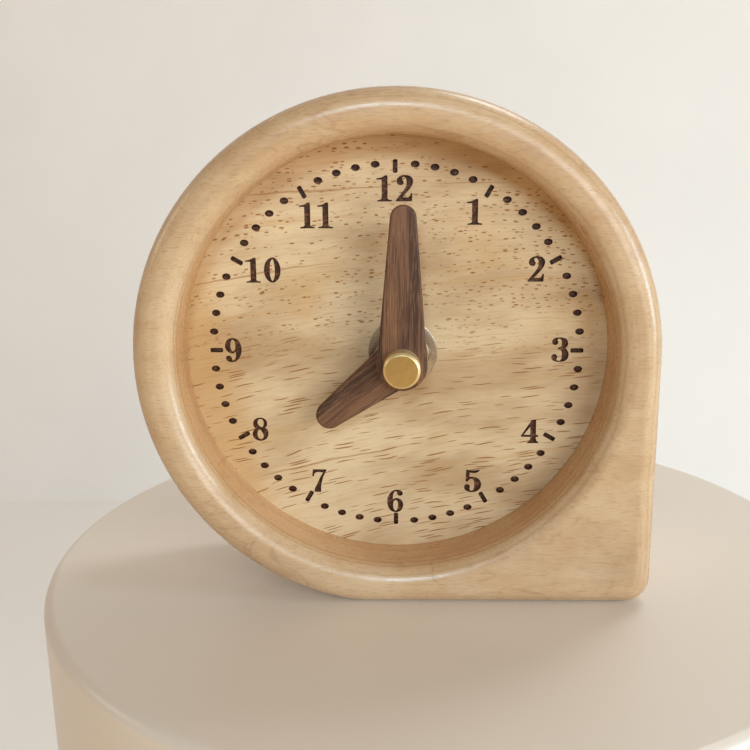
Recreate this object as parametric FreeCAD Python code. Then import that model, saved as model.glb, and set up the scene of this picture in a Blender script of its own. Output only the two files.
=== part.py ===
import FreeCAD, Part
import math
import os

os.makedirs("parts", exist_ok=True)

# Sizes are in millimetres. X runs to the right of the dial, Y from the front to the back, Z up.
# The origin lies on the surface that the clock stands on, in the middle of its width and depth.

# Wooden case: a round block with one square corner, and with a flat cut into it that it stands on.
# The flat runs out into the round in a wide arc.
CASE_RADIUS = 55.0
FOOT_CUT = 0.8
FOOT_BLEND_RADIUS = 25.0
CASE_CORNER_RADIUS = 5.5
CASE_FRONT_ROUND = 4.25
CASE_BACK_ROUND = 1.5
RIM_WIDTH = 9.1
RECESS_DEPTH = 14.0
RECESS_ROUND = 3.9
CAVITY_WALL = 6.5
SPACE_BEHIND_KNOB = 1.5

# Wooden dial with burnt marks, set into the case a little turned
DIAL_THICKNESS = 4.0
DIAL_FIT = 0.1
DIAL_TURN = 0.45
SHAFT_OFFSET = 1.55
SHAFT_DROP = 0.38
MINUTE_RING_INSET = 5.9
DOT_WIDTH = 1.87
DOT_HEIGHT = 1.42
DOT_DEPTH = 1.2
BAR_LENGTH = 2.8
BAR_WIDTH = 1.0
BAR_CORNER = 0.3
BAR_INSET = 0.6
NUMERAL_RING_INSET = 5.0
NUMERAL_HEIGHT = 5.45
NUMERAL_DEPTH = 0.9
NUMERAL_SPACING = 14.0

# How far each numeral stands off its place on the ring, to the right and up, in hundredths of its height
NUMERAL_NUDGES = {
    1: (-13, -8), 2: (-6, 5), 3: (14, 3), 4: (-9, -18), 5: (-3, 2), 6: (-3, -3),
    7: (2, -1), 8: (-2, -13), 9: (-13, 0), 10: (34, 3), 11: (14, -19), 12: (-1, -3),
}

# Hands and the parts that fix them
HAND_THICKNESS = 2.5
HAND_EDGE_ROUND = 0.5
HAND_HUB_RADIUS = 5.2
HOUR_HAND_REACH = 19.7
HOUR_HAND_TIP_RADIUS = 2.88
HOUR_HAND_LIFT = 9.0
HOUR_HAND_ANGLE = 232.75
MINUTE_HAND_REACH = 30.0
MINUTE_HAND_TIP_RADIUS = 2.66
MINUTE_HAND_LIFT = 14.0
MINUTE_HAND_ANGLE = 0.9
CAP_RADIUS = 3.9
CAP_HEIGHT = 4.0
CAP_BEVEL = 0.7
CAP_CROWN = 1.0
HAND_BUSH_RADIUS = 3.4
HAND_BUSH_LIP = 0.7
HAND_BUSH_LIP_RADIUS = 4.2

# Fixing of the movement to the dial
BUSHING_RADIUS = 4.0
BUSHING_FRONT_LENGTH = 3.5
BUSHING_FLANGE_RADIUS = 5.5
BUSHING_FLANGE_THICKNESS = 0.6
BUSHING_HOLE_CLEARANCE = 0.2
BUSHING_CHAMFER = 0.4
WASHER_RADIUS = 7.55
WASHER_THICKNESS = 0.5
NUT_ACROSS_FLATS = 11.0
NUT_THICKNESS = 2.2
NUT_CHAMFER = 0.85
GASKET_RADIUS = 12.0
GASKET_THICKNESS = 1.0

# Movement housing
MOVEMENT_DEPTH = 15.5
MOVEMENT_CORNER_RADIUS = 3.0
HOUSING_WALL = 1.2
FRONT_WALL = 1.4
COVER_THICKNESS = 1.4
COVER_LIP_DEPTH = 1.0
COVER_LIP_THICKNESS = 0.8
COVER_LIP_FIT = 0.1
COVER_BOSS_HEIGHT = 0.7
COVER_BOSS_RADIUS = 1.1
BRIDGE_THICKNESS = 1.0
BRIDGE_MARGIN = 2.0
POST_RADIUS = 1.5
POST_PIN_RADIUS = 0.8
POST_PIN_FIT = 0.05
DIVIDER_THICKNESS = 1.0
STATOR_DIVIDER_GAP = 1.35
COIL_WALL_GAP = 0.7
FINGER_NOTCH_WIDTH = 20.0
FINGER_NOTCH_DEPTH = 6.0

# Shafts and running fits
RUNNING_FIT = 0.05
MINUTE_ARBOR_RADIUS = 1.75
MINUTE_ARBOR_TIP_RADIUS = 1.5
MINUTE_ARBOR_FLAT = 1.2
MINUTE_ARBOR_REAR_RADIUS = 1.25
HOUR_TUBE_RADIUS = 2.55
WHEEL_ARBOR_RADIUS = 0.5
PIVOT_RADIUS = 0.3
PIVOT_LENGTH = 0.5
END_SHAKE = 0.1
SETTING_STEM_RADIUS = 1.2
KNOB_RADIUS = 4.5
KNOB_HEIGHT = 3.5
KNOB_GAP = 0.5
KNOB_RIBS = 30
KNOB_RIB_DEPTH = 0.35

# Gear teeth: depths and widths are shares of the module or of half a pitch
TOOTH_ADDENDUM = 0.9
TOOTH_DEDENDUM = 1.2
TOOTH_FILL = 0.86
TOOTH_TIP_SHARE = 0.42
TOOTH_ROOT_SHARE = 1.25
SMALLEST_WIDE_ROOT = 20

# Motion work: the cannon pinion drives the minute wheel, whose pinion drives the hour wheel
CANNON_TEETH = 12
MINUTE_WHEEL_TEETH = 36
MINUTE_PINION_TEETH = 10
HOUR_WHEEL_TEETH = 40
SETTING_PINION_TEETH = 18
MOTION_MODULE = 0.4

# Going train: the rotor drives the fifth, fourth, third and centre wheels in turn
ROTOR_PINION_TEETH = 8
FIFTH_WHEEL_TEETH = 48
FIFTH_PINION_TEETH = 10
FOURTH_WHEEL_TEETH = 50
FOURTH_PINION_TEETH = 8
THIRD_WHEEL_TEETH = 60
THIRD_PINION_TEETH = 8
CENTRE_WHEEL_TEETH = 64
TRAIN_MODULE = 0.2

# Directions from one axis to the next, in degrees from +X towards +Z
MINUTE_WHEEL_DIRECTION = 150.0
SETTING_DIRECTION = 100.0
THIRD_DIRECTION = 80.0
FOURTH_DIRECTION = 20.0
FIFTH_DIRECTION = -50.0
ROTOR_DIRECTION = -60.0

# Depths of the gear layers and the gaps between them
MOTION_WHEEL_THICKNESS = 0.9
TRAIN_WHEEL_THICKNESS = 0.7
PINION_OVERHANG = 0.15
HOUR_LAYER_GAP = 0.3
MINUTE_LAYER_GAP = 0.4
BRIDGE_GAP = 0.5
CENTRE_LAYER_GAP = 0.2
THIRD_LAYER_GAP = 0.8
TRAIN_LAYER_GAP = 0.5

# Friction clutch behind the centre wheel
CLUTCH_SPRING_RADIUS = 2.6
CLUTCH_SPRING_THICKNESS = 0.15
CLUTCH_COLLAR_RADIUS = 1.9
CLUTCH_COLLAR_THICKNESS = 0.3

# Stepping motor
MAGNET_RADIUS = 2.6
MAGNET_THICKNESS = 1.6
STATOR_HOLE_RADIUS = 3.1
STATOR_RING_WIDTH = 1.2
STATOR_THICKNESS = 0.8
STATOR_BAR_WIDTH = 4.2
STATOR_HALF_HEIGHT = 9.5
STATOR_TAB_WIDTH = 2.5
COIL_OFFSET = 8.1
COIL_CORE_WIDTH = 2.6
COIL_CORE_THICKNESS = 0.8
COIL_RADIUS = 2.9
BOBBIN_TUBE_WALL = 0.5
BOBBIN_FLANGE_SIZE = 6.4
BOBBIN_FLANGE_THICKNESS = 0.8
COIL_END_GAP = 0.4
COIL_PIN_RADIUS = 0.6

# Electronics
BOARD_HEIGHT = 5.5
BOARD_THICKNESS = 0.8
BOARD_TOP_GAP = 1.8
BOARD_STEM_GAP = 2.85
BOARD_DEPTH_BEHIND_WALL = 8.6
BOARD_POST_INSET = 7.0
CHIP_RADIUS = 2.4
CHIP_HEIGHT = 0.8
CRYSTAL_RADIUS = 1.0
CRYSTAL_LENGTH = 6.0
CRYSTAL_OFFSET = 14.0

# Battery of the common AA size, and its contacts
BATTERY_RADIUS = 7.0
BATTERY_LENGTH = 50.0
BATTERY_NUB_RADIUS = 2.75
BATTERY_NUB_LENGTH = 1.0
BATTERY_EDGE_ROUND = 0.8
BATTERY_CAN_WALL = 0.3
SLEEVE_THICKNESS = 0.15
SLEEVE_END_INSET = 0.5
BATTERY_CLEARANCE = 0.3
CONTACT_ROOM = 1.8
CONTACT_THICKNESS = 0.3
POSITIVE_CONTACT_BOW = 3.0
NEGATIVE_CONTACT_BOW = 4.0
CONTACT_WIDTH = 5.0
CONTACT_DEPTH_BEHIND_WALL = 5.0
CONTACT_GAP = 0.1
CONTACT_FIT = 0.2

# Outlines of the digits, in hundredths of the numeral's height from its lower left corner.
# Each contour is a list of runs: two points make a line, and more make a smooth curve.
DIGITS = {
    "0": [
        [[(33, 100), (12, 88), (0, 50), (12, 12), (33, 0), (54, 12), (66, 50), (54, 88), (33, 100)]],
        [[(33, 93), (26, 80), (23, 50), (26, 20), (33, 7), (40, 20), (43, 50), (40, 80), (33, 93)]],
    ],
    "1": [
        [
            [(0, 0), (57, 0)],
            [(57, 0), (57, 4), (50, 6), (42, 9), (40, 18)],
            [(40, 18), (40, 94)],
            [(40, 94), (37, 99), (31, 99), (22, 94), (10, 90), (-3, 88)],
            [(-3, 88), (-3, 83)],
            [(-3, 83), (17, 83)],
            [(17, 83), (17, 18)],
            [(17, 18), (15, 9), (7, 6), (0, 4), (0, 0)],
        ],
    ],
    "2": [
        [
            [(0, 3), (14, 21), (30, 41), (40, 58), (42, 75), (38, 88), (31, 93), (25, 90), (25, 84), (30, 76),
             (30, 68), (24, 62), (16, 62), (7, 67), (4, 77), (9, 90), (21, 98), (36, 100), (55, 96), (66, 84),
             (66, 68), (58, 52), (42, 33), (26, 16)],
            [(26, 16), (37, 15), (47, 15), (53, 19), (58, 31)],
            [(58, 31), (65, 31)],
            [(65, 31), (63, 0)],
            [(63, 0), (2, 0)],
            [(2, 0), (0, 3)],
        ],
    ],
    "3": [
        [
            [(1, 22), (2, 12), (12, 3), (32, 0), (55, 4), (67, 17), (69, 31), (65, 45), (54, 56)],
            [(54, 56), (63, 65), (65, 79), (58, 93), (44, 99), (32, 100), (14, 97), (4, 90), (2, 80), (7, 71),
             (15, 69), (23, 73), (26, 81), (23, 90), (29, 95), (36, 92), (40, 82), (40, 70), (37, 62),
             (31, 60), (26, 55), (27, 50)],
            [(27, 50), (36, 49), (41, 41), (42, 27), (40, 12), (34, 5), (25, 6), (21, 10), (24, 18), (22, 27),
             (14, 32), (5, 30), (1, 22)],
        ],
    ],
    "4": [
        [
            [(43, 100), (60, 100)],
            [(60, 100), (61, 36)],
            [(61, 36), (70, 35)],
            [(70, 35), (70, 26)],
            [(70, 26), (61, 27)],
            [(61, 27), (61, 19), (64, 11), (72, 5)],
            [(72, 5), (72, 0)],
            [(72, 0), (26, 0)],
            [(26, 0), (26, 5)],
            [(26, 5), (35, 11), (38, 19), (38, 27)],
            [(38, 27), (1, 27)],
            [(1, 27), (0, 32)],
            [(0, 32), (43, 100)],
        ],
        [[(37, 70), (38, 36)], [(38, 36), (11, 36)], [(11, 36), (37, 70)]],
    ],
    "5": [
        [
            [(8, 100), (20, 97), (36, 96), (52, 97), (64, 100)],
            [(64, 100), (60, 91), (52, 86), (38, 84), (23, 86)],
            [(23, 86), (22, 67)],
            [(22, 67), (34, 68), (50, 65), (64, 54), (71, 37), (68, 20), (55, 6), (33, 0), (14, 4), (2, 14),
             (1, 26), (8, 35), (18, 34), (25, 26), (23, 14), (29, 7), (36, 8), (41, 18), (42, 38), (39, 53),
             (31, 59), (22, 56), (16, 47)],
            [(16, 47), (6, 47)],
            [(6, 47), (8, 100)],
        ],
    ],
    "6": [
        [
            [(24, 58), (24, 72), (27, 84), (32, 91), (39, 92), (41, 85), (44, 77), (53, 73), (62, 76),
             (65, 86), (57, 96), (41, 100), (25, 96), (12, 84), (3, 66), (0, 46), (3, 27), (13, 9), (34, 0),
             (55, 6), (66, 24), (66, 42), (57, 56), (41, 63), (31, 61), (24, 58)],
        ],
        [[(33, 54), (27, 47), (25, 30), (28, 14), (35, 7), (42, 14), (45, 30), (43, 47), (33, 54)]],
    ],
    "7": [
        [
            [(4, 100), (61, 100)],
            [(61, 100), (60, 93)],
            [(60, 93), (48, 68), (40, 40), (37, 0)],
            [(37, 0), (10, 0)],
            [(10, 0), (10, 10), (20, 33), (32, 60), (47, 86)],
            [(47, 86), (30, 88), (17, 86), (11, 80), (8, 69)],
            [(8, 69), (1, 69)],
            [(1, 69), (4, 100)],
        ],
    ],
    "8": [
        [
            [(14, 52), (5, 64), (4, 80), (13, 94), (33, 100), (53, 94), (61, 80), (60, 66), (52, 57)],
            [(52, 57), (63, 46), (65, 28), (56, 9), (33, 0), (10, 8), (0, 25), (3, 42), (14, 52)],
        ],
        [
            [(33, 94), (24, 88), (22, 77), (28, 66), (38, 59)],
            [(38, 59), (45, 66), (47, 78), (43, 90), (33, 94)],
        ],
        [[(27, 48), (21, 38), (21, 22), (28, 9), (36, 7), (44, 14), (45, 27), (39, 38), (27, 48)]],
    ],
}
DIGIT_WIDTHS = {"0": 66, "1": 57, "2": 66, "3": 69, "4": 72, "5": 71, "6": 67, "7": 61, "8": 65, "9": 67}

# Radii of the case and of the rings of marks
RECESS_RADIUS = CASE_RADIUS - RIM_WIDTH
CAVITY_RADIUS = CASE_RADIUS - CAVITY_WALL
MINUTE_RING_RADIUS = RECESS_RADIUS - MINUTE_RING_INSET
NUMERAL_RING_RADIUS = MINUTE_RING_RADIUS - NUMERAL_RING_INSET

# Places along Y, counted from the clock's middle
MOVEMENT_STACK = DIAL_THICKNESS + GASKET_THICKNESS + MOVEMENT_DEPTH
BACK_REACH = MOVEMENT_STACK + KNOB_GAP + KNOB_HEIGHT + SPACE_BEHIND_KNOB
FRONT_REACH = max(RECESS_DEPTH, MINUTE_HAND_LIFT + CAP_HEIGHT)
DIAL_Y = (FRONT_REACH - BACK_REACH) / 2
CASE_FRONT_Y = DIAL_Y - RECESS_DEPTH
CASE_BACK_Y = DIAL_Y + BACK_REACH
HOUR_HAND_Y = DIAL_Y - HOUR_HAND_LIFT
MINUTE_HAND_Y = DIAL_Y - MINUTE_HAND_LIFT
MINUTE_HAND_BACK_Y = MINUTE_HAND_Y + HAND_THICKNESS
CAP_FRONT_Y = MINUTE_HAND_Y - CAP_HEIGHT
GASKET_Y = DIAL_Y + DIAL_THICKNESS
MOVEMENT_Y = GASKET_Y + GASKET_THICKNESS
FRONT_WALL_Y = MOVEMENT_Y + FRONT_WALL
HOUR_LAYER_Y = FRONT_WALL_Y + HOUR_LAYER_GAP
MINUTE_LAYER_Y = HOUR_LAYER_Y + MOTION_WHEEL_THICKNESS + MINUTE_LAYER_GAP
MINUTE_LAYER_BACK_Y = MINUTE_LAYER_Y + MOTION_WHEEL_THICKNESS
BRIDGE_Y = MINUTE_LAYER_BACK_Y + BRIDGE_GAP
BRIDGE_BACK_Y = BRIDGE_Y + BRIDGE_THICKNESS
CENTRE_LAYER_Y = BRIDGE_BACK_Y + CENTRE_LAYER_GAP
CENTRE_LAYER_BACK_Y = CENTRE_LAYER_Y + TRAIN_WHEEL_THICKNESS
THIRD_LAYER_Y = CENTRE_LAYER_BACK_Y + THIRD_LAYER_GAP
FOURTH_LAYER_Y = THIRD_LAYER_Y + TRAIN_WHEEL_THICKNESS + TRAIN_LAYER_GAP
FIFTH_LAYER_Y = FOURTH_LAYER_Y + TRAIN_WHEEL_THICKNESS + TRAIN_LAYER_GAP
MAGNET_Y = FIFTH_LAYER_Y + TRAIN_WHEEL_THICKNESS + TRAIN_LAYER_GAP
STATOR_Y = MAGNET_Y + (MAGNET_THICKNESS - STATOR_THICKNESS) / 2
COIL_CORE_Y = STATOR_Y - COIL_CORE_THICKNESS
MOVEMENT_BACK_Y = MOVEMENT_Y + MOVEMENT_DEPTH
COVER_Y = MOVEMENT_BACK_Y - COVER_THICKNESS
COVER_BOSS_Y = COVER_Y - COVER_BOSS_HEIGHT
BOARD_Y = FRONT_WALL_Y + BOARD_DEPTH_BEHIND_WALL
KNOB_Y = MOVEMENT_BACK_Y + KNOB_GAP
SLEEVE_RADIUS = BATTERY_RADIUS + SLEEVE_THICKNESS
BATTERY_Y = FRONT_WALL_Y + BATTERY_CLEARANCE + SLEEVE_RADIUS


def polar(start, distance, degrees):
    """Point at a distance and direction from another, in the plane of the dial."""
    angle = math.radians(degrees)
    return (start[0] + distance * math.cos(angle), start[1] + distance * math.sin(angle))


def axis_distance(module, teeth, other_teeth):
    """Distance between the axes of two gears in mesh."""
    return module * (teeth + other_teeth) / 2


MOTION_DISTANCE = axis_distance(MOTION_MODULE, CANNON_TEETH, MINUTE_WHEEL_TEETH)
HOUR_MODULE = 2 * MOTION_DISTANCE / (MINUTE_PINION_TEETH + HOUR_WHEEL_TEETH)
SETTING_DISTANCE = axis_distance(MOTION_MODULE, MINUTE_WHEEL_TEETH, SETTING_PINION_TEETH)
THIRD_DISTANCE = axis_distance(TRAIN_MODULE, THIRD_PINION_TEETH, CENTRE_WHEEL_TEETH)
FOURTH_DISTANCE = axis_distance(TRAIN_MODULE, FOURTH_PINION_TEETH, THIRD_WHEEL_TEETH)
FIFTH_DISTANCE = axis_distance(TRAIN_MODULE, FIFTH_PINION_TEETH, FOURTH_WHEEL_TEETH)
ROTOR_DISTANCE = axis_distance(TRAIN_MODULE, ROTOR_PINION_TEETH, FIFTH_WHEEL_TEETH)

# Axes, as points in the plane of the dial
DIAL_CENTRE = (0.0, CASE_RADIUS - FOOT_CUT)
HANDS_AXIS = (SHAFT_OFFSET, DIAL_CENTRE[1] - SHAFT_DROP)
MINUTE_WHEEL_AXIS = polar(HANDS_AXIS, MOTION_DISTANCE, MINUTE_WHEEL_DIRECTION)
SETTING_AXIS = polar(MINUTE_WHEEL_AXIS, SETTING_DISTANCE, SETTING_DIRECTION)
THIRD_AXIS = polar(HANDS_AXIS, THIRD_DISTANCE, THIRD_DIRECTION)
FOURTH_AXIS = polar(THIRD_AXIS, FOURTH_DISTANCE, FOURTH_DIRECTION)
FIFTH_AXIS = polar(FOURTH_AXIS, FIFTH_DISTANCE, FIFTH_DIRECTION)
ROTOR_AXIS = polar(FIFTH_AXIS, ROTOR_DISTANCE, ROTOR_DIRECTION)
COIL_MIDDLE = (ROTOR_AXIS[0] + COIL_OFFSET, ROTOR_AXIS[1])

# Inside of the movement's housing, counted from the hands' axis: as wide as the battery or the motor needs,
# and as high as the battery bay, the motor, the setting stem and the circuit board need
BATTERY_REACH = BATTERY_LENGTH / 2 + CONTACT_ROOM
COIL_REACH = COIL_MIDDLE[0] - HANDS_AXIS[0] + BOBBIN_FLANGE_SIZE / 2 + COIL_WALL_GAP
INNER_HALF_WIDTH = max(BATTERY_REACH, COIL_REACH)
DIVIDER_TOP = ROTOR_AXIS[1] - HANDS_AXIS[1] - STATOR_HALF_HEIGHT - STATOR_DIVIDER_GAP
BAY_TOP = DIVIDER_TOP - DIVIDER_THICKNESS
BAY_BOTTOM = BAY_TOP - 2 * (SLEEVE_RADIUS + BATTERY_CLEARANCE)
BATTERY_HEIGHT = (BAY_TOP + BAY_BOTTOM) / 2
BOARD_BOTTOM = SETTING_AXIS[1] - HANDS_AXIS[1] + SETTING_STEM_RADIUS + BOARD_STEM_GAP
BOARD_TOP = BOARD_BOTTOM + BOARD_HEIGHT
BOARD_MIDDLE = (BOARD_TOP + BOARD_BOTTOM) / 2
INNER_TOP = BOARD_TOP + BOARD_TOP_GAP
HALF_WIDTH = INNER_HALF_WIDTH + HOUSING_WALL
HOUSING_TOP = INNER_TOP + HOUSING_WALL
HOUSING_BOTTOM = BAY_BOTTOM - HOUSING_WALL


def meshed_phase(phase, teeth, other_teeth, direction):
    """Angle of a tooth on the second gear of a pair, so that its teeth fill the first one's gaps."""
    line = math.radians(direction)
    return line + math.pi - (phase - line) * teeth / other_teeth - math.pi / other_teeth


# Angles of one tooth on each gear
CANNON_PHASE = 0.0
MINUTE_WHEEL_PHASE = meshed_phase(CANNON_PHASE, CANNON_TEETH, MINUTE_WHEEL_TEETH, MINUTE_WHEEL_DIRECTION)
SETTING_PHASE = meshed_phase(MINUTE_WHEEL_PHASE, MINUTE_WHEEL_TEETH, SETTING_PINION_TEETH, SETTING_DIRECTION)
HOUR_WHEEL_PHASE = 0.0
MINUTE_PINION_PHASE = meshed_phase(
    HOUR_WHEEL_PHASE, HOUR_WHEEL_TEETH, MINUTE_PINION_TEETH, MINUTE_WHEEL_DIRECTION
)
CENTRE_PHASE = 0.0
THIRD_PINION_PHASE = meshed_phase(CENTRE_PHASE, CENTRE_WHEEL_TEETH, THIRD_PINION_TEETH, THIRD_DIRECTION)
THIRD_WHEEL_PHASE = 0.0
FOURTH_PINION_PHASE = meshed_phase(
    THIRD_WHEEL_PHASE, THIRD_WHEEL_TEETH, FOURTH_PINION_TEETH, FOURTH_DIRECTION
)
FOURTH_WHEEL_PHASE = 0.0
FIFTH_PINION_PHASE = meshed_phase(FOURTH_WHEEL_PHASE, FOURTH_WHEEL_TEETH, FIFTH_PINION_TEETH, FIFTH_DIRECTION)
FIFTH_WHEEL_PHASE = 0.0
ROTOR_PHASE = meshed_phase(FIFTH_WHEEL_PHASE, FIFTH_WHEEL_TEETH, ROTOR_PINION_TEETH, ROTOR_DIRECTION)


def vector(point, y):
    """Point of the dial's plane, moved to a place along Y."""
    return FreeCAD.Vector(point[0], y, point[1])


def disc(centre, radius, y_front, y_back):
    """Round bar along Y."""
    return Part.makeCylinder(radius, y_back - y_front, vector(centre, y_front), FreeCAD.Vector(0, 1, 0))


def ring(centre, radius, bore, y_front, y_back):
    """Round bar along Y with a hole through it."""
    return disc(centre, radius, y_front, y_back).cut(disc(centre, bore, y_front - 1, y_back + 1))


def block(x_range, y_range, z_range):
    """Box between two corners."""
    size = (x_range[1] - x_range[0], y_range[1] - y_range[0], z_range[1] - z_range[0])
    return Part.makeBox(*size, FreeCAD.Vector(x_range[0], y_range[0], z_range[0]))


def movement_block(x_range, y_range, z_range):
    """Box between two corners, with X and Z counted from the hands' axis."""
    x_shift, z_shift = HANDS_AXIS
    return block(
        (x_range[0] + x_shift, x_range[1] + x_shift),
        y_range,
        (z_range[0] + z_shift, z_range[1] + z_shift),
    )


def movement_point(x, z):
    """Point of the dial's plane, counted from the hands' axis."""
    return (HANDS_AXIS[0] + x, HANDS_AXIS[1] + z)


def prism(points, y_front, thickness):
    """Straight-sided plate along Y from the corners of its outline."""
    corners = [vector(point, y_front) for point in points]
    outline = Part.makePolygon(corners + corners[:1])
    return Part.Face(outline).extrude(FreeCAD.Vector(0, thickness, 0))


def fused(shapes):
    """One solid from several that touch."""
    return shapes[0].multiFuse(shapes[1:]).removeSplitter()


def edges_in_plane(shape, y, keep=lambda edge: True):
    """Edges that lie wholly at one place along Y."""
    flat = [edge for edge in shape.Edges if all(abs(vertex.Y - y) < 1e-4 for vertex in edge.Vertexes)]
    level = [edge for edge in flat if abs(edge.CenterOfMass.y - y) < 1e-4]
    return [edge for edge in level if keep(edge)]


def runs_along_y(edge):
    """Whether a straight edge runs from front to back."""
    start, end = [vertex.Point for vertex in edge.Vertexes]
    return math.hypot(end.x - start.x, end.z - start.z) < 1e-6


def rounded_plate(half_width, bottom, top, radius, y_front, y_back):
    """Upright plate with rounded corners, with X and Z counted from the hands' axis."""
    plate = movement_block((-half_width, half_width), (y_front, y_back), (bottom, top))
    corners = [edge for edge in plate.Edges if runs_along_y(edge)]
    return plate.makeFillet(radius, corners)


def toothed_disc(teeth, module, phase, centre, y_front, thickness):
    """Gear whose teeth have straight flanks above and below the pitch circle."""
    pitch_radius = module * teeth / 2
    half_tooth = math.pi / teeth / 2 * TOOTH_FILL
    root_share = 1.0 if teeth < SMALLEST_WIDE_ROOT else TOOTH_ROOT_SHARE
    flank = [
        (pitch_radius - TOOTH_DEDENDUM * module, half_tooth * root_share),
        (pitch_radius, half_tooth),
        (pitch_radius + TOOTH_ADDENDUM * module, half_tooth * TOOTH_TIP_SHARE),
    ]
    points = []
    for number in range(teeth):
        middle = phase + 2 * math.pi * number / teeth
        rising = [(radius, middle - spread) for radius, spread in flank]
        falling = [(radius, middle + spread) for radius, spread in reversed(flank)]
        points += [polar(centre, radius, math.degrees(angle)) for radius, angle in rising + falling]
    return prism(points, y_front, thickness)


def case_outline():
    """Front view of the case: a circle with a flat below, which ends in one square corner at the lower right."""
    radius = CASE_RADIUS
    corner = CASE_CORNER_RADIUS
    height = DIAL_CENTRE[1]
    reach = radius - FOOT_BLEND_RADIUS
    drop = height - FOOT_BLEND_RADIUS
    sideways = math.sqrt(reach**2 - drop**2)
    centre = vector(DIAL_CENTRE, CASE_FRONT_Y)
    right = centre + FreeCAD.Vector(radius, 0, 0)
    top_left = centre + FreeCAD.Vector(-radius * math.sqrt(0.5), 0, radius * math.sqrt(0.5))
    blend_centre = centre + FreeCAD.Vector(-sideways, 0, -drop)
    outwards = FreeCAD.Vector(-sideways / reach, 0, -drop / reach)
    midway = outwards + FreeCAD.Vector(0, 0, -1)
    on_round = blend_centre + outwards * FOOT_BLEND_RADIUS
    on_blend = blend_centre + midway * (FOOT_BLEND_RADIUS / midway.Length)
    on_foot = blend_centre + FreeCAD.Vector(0, 0, -FOOT_BLEND_RADIUS)
    above_corner = centre + FreeCAD.Vector(radius, 0, corner - height)
    beside_corner = centre + FreeCAD.Vector(radius - corner, 0, -height)
    inwards = corner * (1 - math.sqrt(0.5))
    on_corner = centre + FreeCAD.Vector(radius - inwards, 0, inwards - height)
    edges = [
        Part.Arc(right, top_left, on_round).toShape(),
        Part.Arc(on_round, on_blend, on_foot).toShape(),
        Part.LineSegment(on_foot, beside_corner).toShape(),
        Part.Arc(beside_corner, on_corner, above_corner).toShape(),
        Part.LineSegment(above_corner, right).toShape(),
    ]
    return Part.Wire(edges)


def clock_case():
    """Wooden block with a deep recess in front and a wider cavity behind, open at the back."""
    depth = CASE_BACK_Y - CASE_FRONT_Y
    block_shape = Part.Face(case_outline()).extrude(FreeCAD.Vector(0, depth, 0))
    rim = DIAL_CENTRE[1] - RECESS_RADIUS
    outer_round = min(CASE_FRONT_ROUND, CASE_CORNER_RADIUS * 0.9, rim * 0.515)
    block_shape = block_shape.makeFillet(outer_round, edges_in_plane(block_shape, CASE_FRONT_Y))
    back_wall = DIAL_CENTRE[1] - CAVITY_RADIUS
    back_round = min(CASE_BACK_ROUND, back_wall * 0.4)
    block_shape = block_shape.makeFillet(back_round, edges_in_plane(block_shape, CASE_BACK_Y))
    block_shape = block_shape.cut(disc(DIAL_CENTRE, RECESS_RADIUS, CASE_FRONT_Y - 1, DIAL_Y + 1))
    inner_round = min(RECESS_ROUND, rim * 0.47)
    inner = edges_in_plane(block_shape, CASE_FRONT_Y, lambda edge: is_circle(edge, RECESS_RADIUS))
    block_shape = block_shape.makeFillet(inner_round, inner)
    return block_shape.cut(disc(DIAL_CENTRE, CAVITY_RADIUS, DIAL_Y, CASE_BACK_Y + 1))


def is_circle(edge, radius):
    """Whether an edge is round with a given radius."""
    return hasattr(edge.Curve, "Radius") and abs(edge.Curve.Radius - radius) < 1e-4


def digit_contour(runs, left, bottom):
    """Closed outline of one contour of a digit."""
    scale = NUMERAL_HEIGHT / 100
    edges = []
    for run in runs:
        places = [FreeCAD.Vector(left + x * scale, DIAL_Y - 1, bottom + z * scale) for x, z in run]
        if len(places) == 2:
            edges.append(Part.LineSegment(*places).toShape())
            continue
        curve = Part.BSplineCurve()
        if run[0] == run[-1]:
            curve.interpolate(Points=places[:-1], PeriodicFlag=True)
        else:
            curve.interpolate(Points=places)
        edges.append(curve.toShape())
    return Part.Wire(edges)


def digit_mark(digit, left, bottom):
    """Cutter for one digit, from just ahead of the dial to its depth. A 9 is a 6 turned half round."""
    drawn = "6" if digit == "9" else digit
    wires = [digit_contour(runs, left, bottom) for runs in DIGITS[drawn]]
    mark = Part.makeFace(wires, "Part::FaceMakerBullseye").extrude(FreeCAD.Vector(0, NUMERAL_DEPTH + 1, 0))
    if digit == "9":
        width = DIGIT_WIDTHS[digit] * NUMERAL_HEIGHT / 100
        middle = FreeCAD.Vector(left + width / 2, 0, bottom + NUMERAL_HEIGHT / 2)
        mark.rotate(middle, FreeCAD.Vector(0, 1, 0), 180)
    return mark


def numeral_marks(hour):
    """Cutters for the upright numeral of one hour."""
    digits = str(hour)
    widths = [DIGIT_WIDTHS[digit] * NUMERAL_HEIGHT / 100 for digit in digits]
    spacing = NUMERAL_SPACING * NUMERAL_HEIGHT / 100
    middle = polar(DIAL_CENTRE, NUMERAL_RING_RADIUS, 90 - 30 * hour)
    aside, up = (nudge * NUMERAL_HEIGHT / 100 for nudge in NUMERAL_NUDGES[hour])
    left = middle[0] + aside - (sum(widths) + spacing * (len(digits) - 1)) / 2
    bottom = middle[1] + up - NUMERAL_HEIGHT / 2
    marks = []
    for digit, width in zip(digits, widths):
        marks.append(digit_mark(digit, left, bottom))
        left += width + spacing
    return marks


def dot_mark(minute):
    """Cutter for one minute dot, a little wider than it is high."""
    place = vector(polar(DIAL_CENTRE, MINUTE_RING_RADIUS, 90 - 6 * minute), DIAL_Y - 1)
    dot = Part.Ellipse(FreeCAD.Vector(0, 0, 0), DOT_WIDTH / 2, DOT_HEIGHT / 2)
    edge = dot.toShape()
    edge.rotate(FreeCAD.Vector(0, 0, 0), FreeCAD.Vector(1, 0, 0), 90)
    edge.translate(place)
    return Part.Face(Part.Wire([edge])).extrude(FreeCAD.Vector(0, DOT_DEPTH + 1, 0))


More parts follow.
